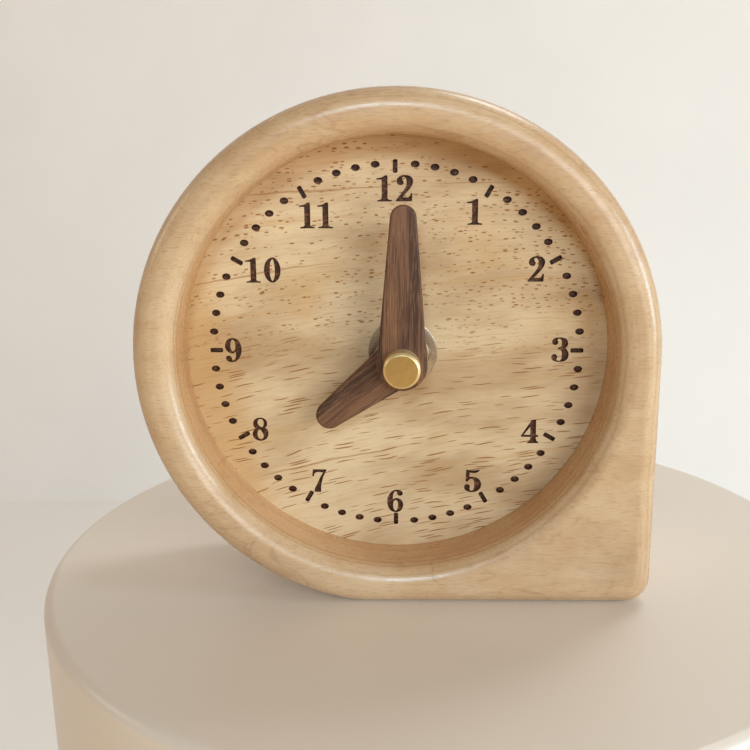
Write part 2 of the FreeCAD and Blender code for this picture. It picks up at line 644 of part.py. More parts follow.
def bar_mark(hour):
    """Cutter for one hour bar, which points at the dial's centre."""
    middle = (DIAL_CENTRE[0], DIAL_CENTRE[1] + MINUTE_RING_RADIUS - BAR_INSET)
    bar = block(
        (middle[0] - BAR_WIDTH / 2, middle[0] + BAR_WIDTH / 2),
        (DIAL_Y - 1, DIAL_Y + DOT_DEPTH),
        (middle[1] - BAR_LENGTH / 2, middle[1] + BAR_LENGTH / 2),
    )
    along = [edge for edge in bar.Edges if abs(edge.Length - DOT_DEPTH - 1) < 1e-4]
    bar = bar.makeFillet(min(BAR_CORNER, BAR_WIDTH * 0.45), along)
    bar.rotate(vector(DIAL_CENTRE, 0), FreeCAD.Vector(0, 1, 0), 30 * hour)
    return bar


def dial_panel():
    """Wooden disc with its burnt dots, bars and numerals, and the hole for the threaded bushing."""
    panel = disc(DIAL_CENTRE, CAVITY_RADIUS - DIAL_FIT, DIAL_Y, DIAL_Y + DIAL_THICKNESS)
    hole = disc(HANDS_AXIS, BUSHING_RADIUS + BUSHING_HOLE_CLEARANCE, DIAL_Y - 1, DIAL_Y + DIAL_THICKNESS + 1)
    dots = [dot_mark(minute) for minute in range(60) if minute % 5]
    bars = [bar_mark(hour) for hour in range(1, 13)]
    numerals = [mark for hour in range(1, 13) for mark in numeral_marks(hour)]
    marks = dots + bars + numerals
    for mark in marks:
        mark.rotate(vector(DIAL_CENTRE, 0), FreeCAD.Vector(0, 1, 0), DIAL_TURN)
    return panel.cut([hole] + marks)


def hand_blank(reach, tip_radius, y_front, clockwise):
    """Tapered wooden hand with round ends, at its angle from twelve."""
    hub = HAND_HUB_RADIUS
    lean = math.asin((hub - tip_radius) / reach)
    side = (math.cos(lean), math.sin(lean))
    x0, z0 = HANDS_AXIS
    corners = {
        sign: (
            FreeCAD.Vector(x0 + sign * hub * side[0], y_front, z0 + hub * side[1]),
            FreeCAD.Vector(x0 + sign * tip_radius * side[0], y_front, z0 + reach + tip_radius * side[1]),
        )
        for sign in (-1, 1)
    }
    tail = FreeCAD.Vector(x0, y_front, z0 - hub)
    tip = FreeCAD.Vector(x0, y_front, z0 + reach + tip_radius)
    outline = Part.Wire([
        Part.Arc(corners[1][0], tail, corners[-1][0]).toShape(),
        Part.LineSegment(corners[-1][0], corners[-1][1]).toShape(),
        Part.Arc(corners[-1][1], tip, corners[1][1]).toShape(),
        Part.LineSegment(corners[1][1], corners[1][0]).toShape(),
    ])
    hand = Part.Face(outline).extrude(FreeCAD.Vector(0, HAND_THICKNESS, 0))
    edge_round = min(HAND_EDGE_ROUND, HAND_THICKNESS * 0.4)
    both_faces = edges_in_plane(hand, y_front) + edges_in_plane(hand, y_front + HAND_THICKNESS)
    hand = hand.makeFillet(edge_round, both_faces)
    hand.rotate(vector(HANDS_AXIS, 0), FreeCAD.Vector(0, 1, 0), clockwise)
    return hand


def hour_hand():
    """Short hand, bored for its metal collet."""
    hand = hand_blank(HOUR_HAND_REACH, HOUR_HAND_TIP_RADIUS, HOUR_HAND_Y, HOUR_HAND_ANGLE)
    return hand.cut(disc(HANDS_AXIS, HAND_BUSH_RADIUS, HOUR_HAND_Y - 1, HOUR_HAND_Y + HAND_THICKNESS + 1))


def hour_hand_bush():
    """Collet that grips the hour tube, with a lip behind the wood."""
    back = HOUR_HAND_Y + HAND_THICKNESS
    barrel = disc(HANDS_AXIS, HAND_BUSH_RADIUS, HOUR_HAND_Y, back + HAND_BUSH_LIP)
    lip = disc(HANDS_AXIS, HAND_BUSH_LIP_RADIUS, back, back + HAND_BUSH_LIP)
    bore = disc(HANDS_AXIS, HOUR_TUBE_RADIUS, HOUR_HAND_Y - 1, back + HAND_BUSH_LIP + 1)
    return fused([barrel, lip]).cut(bore)


def arbor_tip(radius, y_front, y_back):
    """Front end of the minute arbor: round, with two flats that carry the minute hand."""
    bar = disc(HANDS_AXIS, radius, y_front, y_back)
    across = (-MINUTE_ARBOR_FLAT, MINUTE_ARBOR_FLAT)
    return bar.common(movement_block(across, (y_front - 1, y_back + 1), (-radius, radius)))


def minute_hand():
    """Long hand, with a hole that fits the flats of the minute arbor."""
    hand = hand_blank(MINUTE_HAND_REACH, MINUTE_HAND_TIP_RADIUS, MINUTE_HAND_Y, MINUTE_HAND_ANGLE)
    return hand.cut(arbor_tip(MINUTE_ARBOR_TIP_RADIUS, MINUTE_HAND_Y - 1, MINUTE_HAND_BACK_Y + 1))


def cap_nut():
    """Round closed nut with a flat front and a bevelled rim."""
    cap = disc(HANDS_AXIS, CAP_RADIUS, CAP_FRONT_Y, MINUTE_HAND_Y)
    cap = cap.makeChamfer(min(CAP_BEVEL, CAP_RADIUS * 0.4), edges_in_plane(cap, CAP_FRONT_Y))
    thread = disc(HANDS_AXIS, MINUTE_ARBOR_TIP_RADIUS, CAP_FRONT_Y + CAP_CROWN, MINUTE_HAND_Y + 1)
    return cap.cut(thread)


def fixing_washer():
    """Flat washer on the dial."""
    bore = BUSHING_RADIUS + BUSHING_HOLE_CLEARANCE
    return ring(HANDS_AXIS, WASHER_RADIUS, bore, DIAL_Y - WASHER_THICKNESS, DIAL_Y)


def fixing_nut():
    """Hexagon nut with chamfered corners and one corner to the right."""
    front = DIAL_Y - WASHER_THICKNESS - NUT_THICKNESS
    corner_radius = NUT_ACROSS_FLATS / 2 / math.cos(math.pi / 6)
    corners = [polar(HANDS_AXIS, corner_radius, 60 * number) for number in range(6)]
    nut = prism(corners, front, NUT_THICKNESS)
    turned = disc(HANDS_AXIS, corner_radius, front, front + NUT_THICKNESS)
    rims = edges_in_plane(turned, front) + edges_in_plane(turned, front + NUT_THICKNESS)
    turned = turned.makeChamfer(min(NUT_CHAMFER, NUT_THICKNESS * 0.4), rims)
    return nut.common(turned).cut(disc(HANDS_AXIS, BUSHING_RADIUS, front - 1, DIAL_Y))


def movement_gasket():
    """Rubber ring between the dial and the movement."""
    return ring(HANDS_AXIS, GASKET_RADIUS, BUSHING_RADIUS + BUSHING_HOLE_CLEARANCE, GASKET_Y, MOVEMENT_Y)


def threaded_bushing():
    """Tube through the dial, with a flange behind the movement's front wall."""
    front = DIAL_Y - BUSHING_FRONT_LENGTH
    tube = disc(HANDS_AXIS, BUSHING_RADIUS, front, FRONT_WALL_Y)
    tube = tube.makeChamfer(BUSHING_CHAMFER, edges_in_plane(tube, front))
    flange = disc(HANDS_AXIS, BUSHING_FLANGE_RADIUS, FRONT_WALL_Y - BUSHING_FLANGE_THICKNESS, FRONT_WALL_Y)
    bore = disc(HANDS_AXIS, HOUR_TUBE_RADIUS + RUNNING_FIT, front - 1, FRONT_WALL_Y + 1)
    return fused([tube, flange]).cut(bore)


def minute_arbor():
    """Steel shaft of the minute hand, with flats in front and a thinner end behind."""
    tip = arbor_tip(MINUTE_ARBOR_TIP_RADIUS, CAP_FRONT_Y + CAP_CROWN, MINUTE_HAND_BACK_Y)
    body = disc(HANDS_AXIS, MINUTE_ARBOR_RADIUS, MINUTE_HAND_BACK_Y, MINUTE_LAYER_Y)
    rear = disc(HANDS_AXIS, MINUTE_ARBOR_REAR_RADIUS, MINUTE_LAYER_Y, collar_back())
    return fused([tip, body, rear])


def collar_back():
    """Place along Y where the minute arbor and its collar end."""
    return CENTRE_LAYER_BACK_Y + CLUTCH_SPRING_THICKNESS + CLUTCH_COLLAR_THICKNESS


def cannon_pinion():
    """Pinion pressed on the minute arbor, with a hub that reaches to the bridge plate."""
    teeth = toothed_disc(
        CANNON_TEETH, MOTION_MODULE, CANNON_PHASE, HANDS_AXIS, MINUTE_LAYER_Y, MOTION_WHEEL_THICKNESS
    )
    return teeth.cut(disc(HANDS_AXIS, MINUTE_ARBOR_REAR_RADIUS, MINUTE_LAYER_Y - 1, BRIDGE_Y))


def clutch_spring():
    """Thin spring washer that presses on the centre wheel."""
    front = CENTRE_LAYER_BACK_Y
    back = front + CLUTCH_SPRING_THICKNESS
    return ring(HANDS_AXIS, CLUTCH_SPRING_RADIUS, MINUTE_ARBOR_REAR_RADIUS, front, back)


def clutch_collar():
    """Collar pressed on the end of the minute arbor, which holds the clutch spring."""
    front = CENTRE_LAYER_BACK_Y + CLUTCH_SPRING_THICKNESS
    return ring(HANDS_AXIS, CLUTCH_COLLAR_RADIUS, MINUTE_ARBOR_REAR_RADIUS, front, collar_back())


def hour_wheel():
    """Wheel on a long tube that turns in the bushing and carries the hour hand."""
    teeth = toothed_disc(
        HOUR_WHEEL_TEETH, HOUR_MODULE, HOUR_WHEEL_PHASE, HANDS_AXIS, HOUR_LAYER_Y, MOTION_WHEEL_THICKNESS
    )
    tube = disc(HANDS_AXIS, HOUR_TUBE_RADIUS, HOUR_HAND_Y, HOUR_LAYER_Y + MOTION_WHEEL_THICKNESS)
    bore = disc(HANDS_AXIS, MINUTE_ARBOR_RADIUS + RUNNING_FIT, HOUR_HAND_Y - 1, MINUTE_LAYER_Y)
    return fused([teeth, tube]).cut(bore)


def arbor(axis, y_front, y_back):
    """Thin shaft with a smaller pivot at each end, which leaves its end shake."""
    front = y_front + END_SHAKE
    back = y_back - END_SHAKE
    pivots = disc(axis, PIVOT_RADIUS, front - PIVOT_LENGTH, back + PIVOT_LENGTH)
    return fused([disc(axis, WHEEL_ARBOR_RADIUS, front, back), pivots])


def minute_wheel():
    """Wheel driven by the cannon pinion, with the pinion that drives the hour wheel."""
    wheel = toothed_disc(
        MINUTE_WHEEL_TEETH,
        MOTION_MODULE,
        MINUTE_WHEEL_PHASE,
        MINUTE_WHEEL_AXIS,
        MINUTE_LAYER_Y,
        MOTION_WHEEL_THICKNESS,
    )
    pinion = toothed_disc(
        MINUTE_PINION_TEETH,
        HOUR_MODULE,
        MINUTE_PINION_PHASE,
        MINUTE_WHEEL_AXIS,
        HOUR_LAYER_Y - PINION_OVERHANG,
        MINUTE_LAYER_Y - HOUR_LAYER_Y + PINION_OVERHANG,
    )
    return fused([wheel, pinion, arbor(MINUTE_WHEEL_AXIS, FRONT_WALL_Y, BRIDGE_Y)])


def setting_stem():
    """Pinion in mesh with the minute wheel, on a stem that passes out through the cover."""
    pinion = toothed_disc(
        SETTING_PINION_TEETH,
        MOTION_MODULE,
        SETTING_PHASE,
        SETTING_AXIS,
        MINUTE_LAYER_Y,
        MOTION_WHEEL_THICKNESS,
    )
    stem = disc(SETTING_AXIS, SETTING_STEM_RADIUS, FRONT_WALL_Y + END_SHAKE, KNOB_Y + KNOB_HEIGHT * 0.7)
    pivot = disc(SETTING_AXIS, PIVOT_RADIUS, FRONT_WALL_Y + END_SHAKE - PIVOT_LENGTH, MINUTE_LAYER_Y)
    return fused([pinion, stem, pivot])


def setting_knob():
    """Ribbed knob pressed on the setting stem."""
    points = []
    for number in range(KNOB_RIBS):
        step = 360 / KNOB_RIBS
        points.append(polar(SETTING_AXIS, KNOB_RADIUS, step * (number - 0.2)))
        points.append(polar(SETTING_AXIS, KNOB_RADIUS, step * (number + 0.2)))
        points.append(polar(SETTING_AXIS, KNOB_RADIUS - KNOB_RIB_DEPTH, step * (number + 0.35)))
        points.append(polar(SETTING_AXIS, KNOB_RADIUS - KNOB_RIB_DEPTH, step * (number + 0.65)))
    knob = prism(points, KNOB_Y, KNOB_HEIGHT)
    return knob.cut(disc(SETTING_AXIS, SETTING_STEM_RADIUS, KNOB_Y - 1, KNOB_Y + KNOB_HEIGHT * 0.7))


def centre_wheel():
    """Wheel that turns on the minute arbor and drives it through the clutch."""
    wheel = toothed_disc(
        CENTRE_WHEEL_TEETH, TRAIN_MODULE, CENTRE_PHASE, HANDS_AXIS, CENTRE_LAYER_Y, TRAIN_WHEEL_THICKNESS
    )
    bore = disc(HANDS_AXIS, MINUTE_ARBOR_REAR_RADIUS + RUNNING_FIT, BRIDGE_Y, THIRD_LAYER_Y)
    return wheel.cut(bore)


def train_wheel(axis, wheel_teeth, wheel_phase, wheel_y, pinion_teeth, pinion_phase, pinion_y):
    """Wheel and pinion of the going train on one arbor between the bridge plate and the cover."""
    wheel = toothed_disc(wheel_teeth, TRAIN_MODULE, wheel_phase, axis, wheel_y, TRAIN_WHEEL_THICKNESS)
    start = pinion_y - PINION_OVERHANG
    pinion = toothed_disc(pinion_teeth, TRAIN_MODULE, pinion_phase, axis, start, wheel_y - start)
    return fused([wheel, pinion, arbor(axis, BRIDGE_BACK_Y, COVER_BOSS_Y)])


def third_wheel():
    """Wheel between the fourth wheel's pinion and the centre wheel."""
    return train_wheel(
        THIRD_AXIS,
        THIRD_WHEEL_TEETH,
        THIRD_WHEEL_PHASE,
        THIRD_LAYER_Y,
        THIRD_PINION_TEETH,
        THIRD_PINION_PHASE,
        CENTRE_LAYER_Y,
    )


def fourth_wheel():
    """Wheel that turns once a minute."""
    return train_wheel(
        FOURTH_AXIS,
        FOURTH_WHEEL_TEETH,
        FOURTH_WHEEL_PHASE,
        FOURTH_LAYER_Y,
        FOURTH_PINION_TEETH,
        FOURTH_PINION_PHASE,
        THIRD_LAYER_Y,
    )


def fifth_wheel():
    """Wheel driven by the rotor."""
    return train_wheel(
        FIFTH_AXIS,
        FIFTH_WHEEL_TEETH,
        FIFTH_WHEEL_PHASE,
        FIFTH_LAYER_Y,
        FIFTH_PINION_TEETH,
        FIFTH_PINION_PHASE,
        FOURTH_LAYER_Y,
    )


def rotor_pinion():
    """Pinion and arbor of the motor's rotor."""
    pinion = toothed_disc(
        ROTOR_PINION_TEETH,
        TRAIN_MODULE,
        ROTOR_PHASE,
        ROTOR_AXIS,
        FIFTH_LAYER_Y - PINION_OVERHANG,
        MAGNET_Y - FIFTH_LAYER_Y + PINION_OVERHANG,
    )
    return fused([pinion, arbor(ROTOR_AXIS, BRIDGE_BACK_Y, COVER_BOSS_Y)])


def rotor_magnet():
    """Ring magnet pressed on the rotor's arbor."""
    return ring(ROTOR_AXIS, MAGNET_RADIUS, WHEEL_ARBOR_RADIUS, MAGNET_Y, MAGNET_Y + MAGNET_THICKNESS)


def coil_pins():
    """Places of the two pins that hold the coil's core and the stator."""
    height = STATOR_HALF_HEIGHT - STATOR_TAB_WIDTH / 2
    return [(COIL_MIDDLE[0], COIL_MIDDLE[1] + sign * height) for sign in (-1, 1)]


def stator_plate():
    """Soft iron plate round the rotor, with a tab at each end that meets the coil's core."""
    x0, z0 = ROTOR_AXIS
    back = STATOR_Y + STATOR_THICKNESS
    far = COIL_MIDDLE[0] + COIL_CORE_WIDTH / 2
    near = x0 - STATOR_BAR_WIDTH * 0.25
    along = (STATOR_Y, back)
    pieces = [
        disc(ROTOR_AXIS, STATOR_HOLE_RADIUS + STATOR_RING_WIDTH, STATOR_Y, back),
        block((near, near + STATOR_BAR_WIDTH), along, (z0 - STATOR_HALF_HEIGHT, z0 + STATOR_HALF_HEIGHT)),
        block((near, far), along, (z0 + STATOR_HALF_HEIGHT - STATOR_TAB_WIDTH, z0 + STATOR_HALF_HEIGHT)),
        block((near, far), along, (z0 - STATOR_HALF_HEIGHT, z0 - STATOR_HALF_HEIGHT + STATOR_TAB_WIDTH)),
    ]
    holes = [disc(place, COIL_PIN_RADIUS, STATOR_Y - 1, back + 1) for place in coil_pins()]
    holes.append(disc(ROTOR_AXIS, STATOR_HOLE_RADIUS, STATOR_Y - 1, back + 1))
    return fused(pieces).cut(holes)


def coil_core():
    """Soft iron strip through the coil."""
    x0, z0 = COIL_MIDDLE
    core = block(
        (x0 - COIL_CORE_WIDTH / 2, x0 + COIL_CORE_WIDTH / 2),
        (COIL_CORE_Y, STATOR_Y),
        (z0 - STATOR_HALF_HEIGHT, z0 + STATOR_HALF_HEIGHT),
    )
    return core.cut([disc(place, COIL_PIN_RADIUS, COIL_CORE_Y - 1, STATOR_Y + 1) for place in coil_pins()])


def coil_bar(radius, half_length):
    """Round bar along the coil's axis."""
    x0, z0 = COIL_MIDDLE
    base = FreeCAD.Vector(x0, COIL_CORE_Y + COIL_CORE_THICKNESS / 2, z0 - half_length)
    return Part.makeCylinder(radius, 2 * half_length, base, FreeCAD.Vector(0, 0, 1))


def coil_half_length():
    """Half of the bobbin's length, which leaves a gap to the stator's tabs."""
    return STATOR_HALF_HEIGHT - STATOR_TAB_WIDTH - COIL_END_GAP


def bobbin_tube_radius():
    """Radius of the bobbin's tube, which goes round the core."""
    return math.hypot(COIL_CORE_WIDTH, COIL_CORE_THICKNESS) / 2 + BOBBIN_TUBE_WALL


def coil_bobbin():
    """Plastic bobbin with square flanges."""
    x0, z0 = COIL_MIDDLE
    half = coil_half_length()
    half_size = BOBBIN_FLANGE_SIZE / 2
    y_middle = COIL_CORE_Y + COIL_CORE_THICKNESS / 2
    inner = half - BOBBIN_FLANGE_THICKNESS
    across = (x0 - half_size, x0 + half_size)
    deep = (y_middle - half_size, y_middle + half_size)
    flanges = [block(across, deep, (z0 + low, z0 + high)) for low, high in ((-half, -inner), (inner, half))]
    slot = block(
        (x0 - COIL_CORE_WIDTH / 2, x0 + COIL_CORE_WIDTH / 2),
        (COIL_CORE_Y, COIL_CORE_Y + COIL_CORE_THICKNESS),
        (z0 - half - 1, z0 + half + 1),
    )
    return fused([coil_bar(bobbin_tube_radius(), half)] + flanges).cut(slot)


def coil_winding():
    """Copper winding on the bobbin."""
    inner = coil_half_length() - BOBBIN_FLANGE_THICKNESS
    return coil_bar(COIL_RADIUS, inner).cut(coil_bar(bobbin_tube_radius(), inner + 1))


def board_posts():
    """Places of the two posts that carry the circuit board."""
    side = INNER_HALF_WIDTH - BOARD_POST_INSET
    return [movement_point(sign * side, BOARD_MIDDLE) for sign in (-1, 1)]


def circuit_board():
    """Board across the top of the housing, between the two contact strips."""
    half_width = INNER_HALF_WIDTH - CONTACT_THICKNESS - CONTACT_GAP
    back = BOARD_Y + BOARD_THICKNESS
    board = movement_block((-half_width, half_width), (BOARD_Y, back), (BOARD_BOTTOM, BOARD_TOP))
    return board.cut([disc(place, POST_PIN_RADIUS, BOARD_Y - 1, back + 1) for place in board_posts()])


def driver_chip():
    """Round blob of resin over the chip, behind the board."""
    dome_radius = (CHIP_RADIUS ** 2 + CHIP_HEIGHT ** 2) / (2 * CHIP_HEIGHT)
    back = BOARD_Y + BOARD_THICKNESS
    middle = vector(movement_point(0, BOARD_MIDDLE), back + CHIP_HEIGHT - dome_radius)
    dome = Part.makeSphere(dome_radius, middle)
    return dome.common(disc(movement_point(0, BOARD_MIDDLE), CHIP_RADIUS * 1.2, back, back + CHIP_HEIGHT + 1))


def quartz_crystal():
    """Small can that lies on the back of the board."""
    place = movement_point(-CRYSTAL_OFFSET, BOARD_MIDDLE)
    start = vector(place, BOARD_Y + BOARD_THICKNESS + CRYSTAL_RADIUS)
    can = Part.makeCylinder(CRYSTAL_RADIUS, CRYSTAL_LENGTH, start, FreeCAD.Vector(1, 0, 0))
    return can.makeFillet(CRYSTAL_RADIUS * 0.3, [can.Edges[0], can.Edges[2]])


def bridge_posts():
    """Places of the four posts that carry the bridge plate."""
    left = SETTING_AXIS[0] - SETTING_STEM_RADIUS - 3 * POST_RADIUS - BRIDGE_MARGIN
    right = ROTOR_AXIS[0] - POST_RADIUS
    top = BOARD_BOTTOM + HANDS_AXIS[1] - BRIDGE_MARGIN
    bottom = DIVIDER_TOP + HANDS_AXIS[1] + BRIDGE_MARGIN
    return [(x, z) for x in (left, right) for z in (bottom, top)]


def bridge_plate():
    """Plate between the motion work and the going train, with the front pivots' holes."""
    places = bridge_posts()
    xs = [x for x, z in places] + [ROTOR_AXIS[0]]
    zs = [z for x, z in places]
    edge = POST_RADIUS
    plate = block(
        (min(xs) - edge, max(xs) + edge), (BRIDGE_Y, BRIDGE_BACK_Y), (min(zs) - edge, max(zs) + edge)
    )
    bores = [(place, POST_PIN_RADIUS + POST_PIN_FIT) for place in places]
    pivoted = (MINUTE_WHEEL_AXIS, THIRD_AXIS, FOURTH_AXIS, FIFTH_AXIS, ROTOR_AXIS)
    bores += [(axis, PIVOT_RADIUS + RUNNING_FIT) for axis in pivoted]
    bores.append((HANDS_AXIS, MINUTE_ARBOR_REAR_RADIUS + RUNNING_FIT))
    bores.append((SETTING_AXIS, SETTING_STEM_RADIUS + RUNNING_FIT))
    return plate.cut([disc(place, radius, BRIDGE_Y - 1, BRIDGE_BACK_Y + 1) for place, radius in bores])


def post(place, radius, pin_radius, shoulder_y, pin_y):
    """Post on the housing's front wall, with a pin at its end."""
    pin = disc(place, pin_radius, shoulder_y - 1, pin_y)
    return [disc(place, radius, FRONT_WALL_Y - FRONT_WALL / 2, shoulder_y), pin]


def movement_case():
    """Housing of the movement: an open box with the battery bay, the posts and the front pivots' holes."""
    outer = rounded_plate(
        HALF_WIDTH, HOUSING_BOTTOM, HOUSING_TOP, MOVEMENT_CORNER_RADIUS, MOVEMENT_Y, COVER_Y
    )
    inner_corner = max(MOVEMENT_CORNER_RADIUS - HOUSING_WALL, 0.3)
    works, bay = [
        rounded_plate(INNER_HALF_WIDTH, low, high, inner_corner, FRONT_WALL_Y, MOVEMENT_BACK_Y + 1)
        for low, high in ((DIVIDER_TOP, INNER_TOP), (BAY_BOTTOM, BAY_TOP))
    ]
    notch = movement_block(
        (-FINGER_NOTCH_WIDTH / 2, FINGER_NOTCH_WIDTH / 2),
        (MOVEMENT_BACK_Y - FINGER_NOTCH_DEPTH, MOVEMENT_BACK_Y + 1),
        (HOUSING_BOTTOM - 1, BAY_BOTTOM + 1),
    )
    strip_room = CONTACT_THICKNESS + CONTACT_FIT
    slots = [
        movement_block(
            x_range,
            (contact_y() - CONTACT_FIT, contact_y() + CONTACT_WIDTH + CONTACT_FIT),
            (BAY_TOP - 2 * inner_corner, DIVIDER_TOP + 2 * inner_corner),
        )
        for x_range in (
            (-INNER_HALF_WIDTH, -INNER_HALF_WIDTH + strip_room),
            (INNER_HALF_WIDTH - strip_room, INNER_HALF_WIDTH),
        )
    ]
    flange_seat = disc(
        HANDS_AXIS, BUSHING_FLANGE_RADIUS, FRONT_WALL_Y - BUSHING_FLANGE_THICKNESS, FRONT_WALL_Y + 1
    )
    bushing_hole = disc(HANDS_AXIS, BUSHING_RADIUS, MOVEMENT_Y - 1, FRONT_WALL_Y + 1)
    pivot_holes = [
        disc(axis, PIVOT_RADIUS + RUNNING_FIT, FRONT_WALL_Y - PIVOT_LENGTH, FRONT_WALL_Y + 1)
        for axis in (MINUTE_WHEEL_AXIS, SETTING_AXIS)
    ]
    shell = outer.cut([works, bay, notch] + slots + [flange_seat, bushing_hole] + pivot_holes)
    posts = []
    for place in bridge_posts():
        posts += post(place, POST_RADIUS, POST_PIN_RADIUS, BRIDGE_Y, BRIDGE_BACK_Y)
    for place in board_posts():
        posts += post(place, POST_RADIUS, POST_PIN_RADIUS, BOARD_Y, BOARD_Y + BOARD_THICKNESS)
    for place in coil_pins():
        posts += post(place, 2 * COIL_PIN_RADIUS, COIL_PIN_RADIUS, COIL_CORE_Y, STATOR_Y + STATOR_THICKNESS)
    return fused([shell] + posts)


def movement_cover():
    """Cover over the works, with a lip inside the walls, the rear pivots' bosses and the stem's hole."""
    plate = rounded_plate(HALF_WIDTH, BAY_TOP, HOUSING_TOP, MOVEMENT_CORNER_RADIUS, COVER_Y, MOVEMENT_BACK_Y)
    lip_outside = INNER_HALF_WIDTH - COVER_LIP_FIT
    lip_inside = lip_outside - COVER_LIP_THICKNESS
    low = DIVIDER_TOP + COVER_LIP_FIT
    high = INNER_TOP - COVER_LIP_FIT
    lip_y = COVER_Y - COVER_LIP_DEPTH
    corner = max(MOVEMENT_CORNER_RADIUS - HOUSING_WALL - COVER_LIP_FIT, 0.3)
    lip = rounded_plate(lip_outside, low, high, corner, lip_y, COVER_Y)
    hollow = movement_block(
        (-lip_inside, lip_inside),
        (lip_y - 1, COVER_Y),
        (low + COVER_LIP_THICKNESS, high - COVER_LIP_THICKNESS),
    )
    axes = (THIRD_AXIS, FOURTH_AXIS, FIFTH_AXIS, ROTOR_AXIS)
    bosses = [disc(axis, COVER_BOSS_RADIUS, COVER_BOSS_Y, COVER_Y) for axis in axes]
    pivot_bore = PIVOT_RADIUS + RUNNING_FIT
    holes = [disc(axis, pivot_bore, COVER_BOSS_Y - 1, COVER_BOSS_Y + PIVOT_LENGTH) for axis in axes]
    holes.append(disc(SETTING_AXIS, SETTING_STEM_RADIUS + RUNNING_FIT, COVER_Y - 1, MOVEMENT_BACK_Y + 1))
    return fused([plate, lip.cut(hollow)] + bosses).cut(holes)


def contact_y():
    """Front edge of the battery contacts."""
    return FRONT_WALL_Y + CONTACT_DEPTH_BEHIND_WALL


def bent_strip(points):
    """Battery contact of sheet metal along a bent line, which is the strip's left side."""
    places = [movement_point(*point) for point in points]
    other_side = []
    for number, place in enumerate(places):
        before = places[max(number - 1, 0)]
        after = places[min(number + 1, len(places) - 1)]
        first = unit(before, place) if number else unit(place, after)
        last = unit(place, after) if number < len(places) - 1 else first
        across = (first[1] + last[1], -first[0] - last[0])
        length = CONTACT_THICKNESS * 2 / (across[0] ** 2 + across[1] ** 2)
        other_side.append((place[0] + across[0] * length, place[1] + across[1] * length))
    return prism(places + other_side[::-1], contact_y(), CONTACT_WIDTH)


def unit(start, end):
    """Direction from one point to another."""
    length = math.dist(start, end)
    return ((end[0] - start[0]) / length, (end[1] - start[1]) / length)


def contact_strip(side, bow):
    """Contact bowed from the bay's side wall towards the battery, which runs up the wall to the board."""
    wall = INNER_HALF_WIDTH
    tip = BATTERY_LENGTH / 2 + CONTACT_GAP + CONTACT_THICKNESS
    points = [
        (wall, BATTERY_HEIGHT - bow * 1.3),
        (tip, BATTERY_HEIGHT - bow * 0.4),
        (tip, BATTERY_HEIGHT + bow * 0.4),
        (wall, BATTERY_HEIGHT + bow * 1.3),
        (wall, BOARD_TOP),
    ]
    if side > 0:
        return bent_strip(points[::-1])
    return bent_strip([(-x, z) for x, z in points])


def positive_contact():
    """Contact at the battery's nub."""
    return contact_strip(1, POSITIVE_CONTACT_BOW)


def negative_contact():
    """Contact at the battery's flat end."""
    return contact_strip(-1, NEGATIVE_CONTACT_BOW)


def battery_bar(radius, start, length):
    """Round bar along the battery's axis, counted from its flat end."""
    x_start = HANDS_AXIS[0] - BATTERY_LENGTH / 2 + start
    base = FreeCAD.Vector(x_start, BATTERY_Y, HANDS_AXIS[1] + BATTERY_HEIGHT)
    return Part.makeCylinder(radius, length, base, FreeCAD.Vector(1, 0, 0))


def battery_can():
    """Steel can of the cell, with its nub to the right."""
    can_length = BATTERY_LENGTH - BATTERY_NUB_LENGTH
    can = battery_bar(BATTERY_RADIUS, 0, can_length)
    can = can.makeFillet(BATTERY_EDGE_ROUND, [edge for edge in can.Edges if is_circle(edge, BATTERY_RADIUS)])
    nub_start = can_length - BATTERY_CAN_WALL
    nub = battery_bar(BATTERY_NUB_RADIUS, nub_start, BATTERY_LENGTH - nub_start)
    return fused([can, nub]).cut(battery_filling())


def battery_filling():
    """Contents of the cell, as wide and as long as the can leaves room for."""
    length = BATTERY_LENGTH - BATTERY_NUB_LENGTH - 2 * BATTERY_CAN_WALL
    filling = battery_bar(BATTERY_RADIUS - BATTERY_CAN_WALL, BATTERY_CAN_WALL, length)
    rims = [edge for edge in filling.Edges if is_circle(edge, BATTERY_RADIUS - BATTERY_CAN_WALL)]
    return filling.makeFillet(BATTERY_EDGE_ROUND, rims)


def battery_sleeve():
    """Plastic sleeve round the cell."""
    start = max(SLEEVE_END_INSET, BATTERY_EDGE_ROUND)
    length = BATTERY_LENGTH - BATTERY_NUB_LENGTH - 2 * start
    return battery_bar(SLEEVE_RADIUS, start, length).cut(battery_bar(BATTERY_RADIUS, 0, BATTERY_LENGTH))


PARTS = [
    clock_case,
    dial_panel,
    fixing_washer,
    fixing_nut,
    movement_gasket,
    threaded_bushing,
    hour_hand,
    hour_hand_bush,
    minute_hand,
    cap_nut,
    minute_arbor,
    cannon_pinion,
    clutch_spring,
    clutch_collar,
    hour_wheel,
    minute_wheel,
    setting_stem,
    setting_knob,
    centre_wheel,
    third_wheel,
    fourth_wheel,
    fifth_wheel,
    rotor_pinion,
    rotor_magnet,
    stator_plate,
    coil_core,
    coil_bobbin,
    coil_winding,
    circuit_board,
    driver_chip,
    quartz_crystal,
    movement_case,
    bridge_plate,
    movement_cover,
    positive_contact,
    negative_contact,
    battery_can,
    battery_filling,
    battery_sleeve,
]

for make_part in PARTS:
    shape = make_part()
    shape.exportStep("parts/" + make_part.__name__ + ".step")
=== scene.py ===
"""Looks of a round wooden desk clock with one square corner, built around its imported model.

Lengths are in metres. Patterns are laid out in millimetres of each piece's own space.
"""

import logging
import math
from contextlib import contextmanager
from dataclasses import dataclass
from enum import Enum
from typing import Callable, Iterator, Sequence, Union

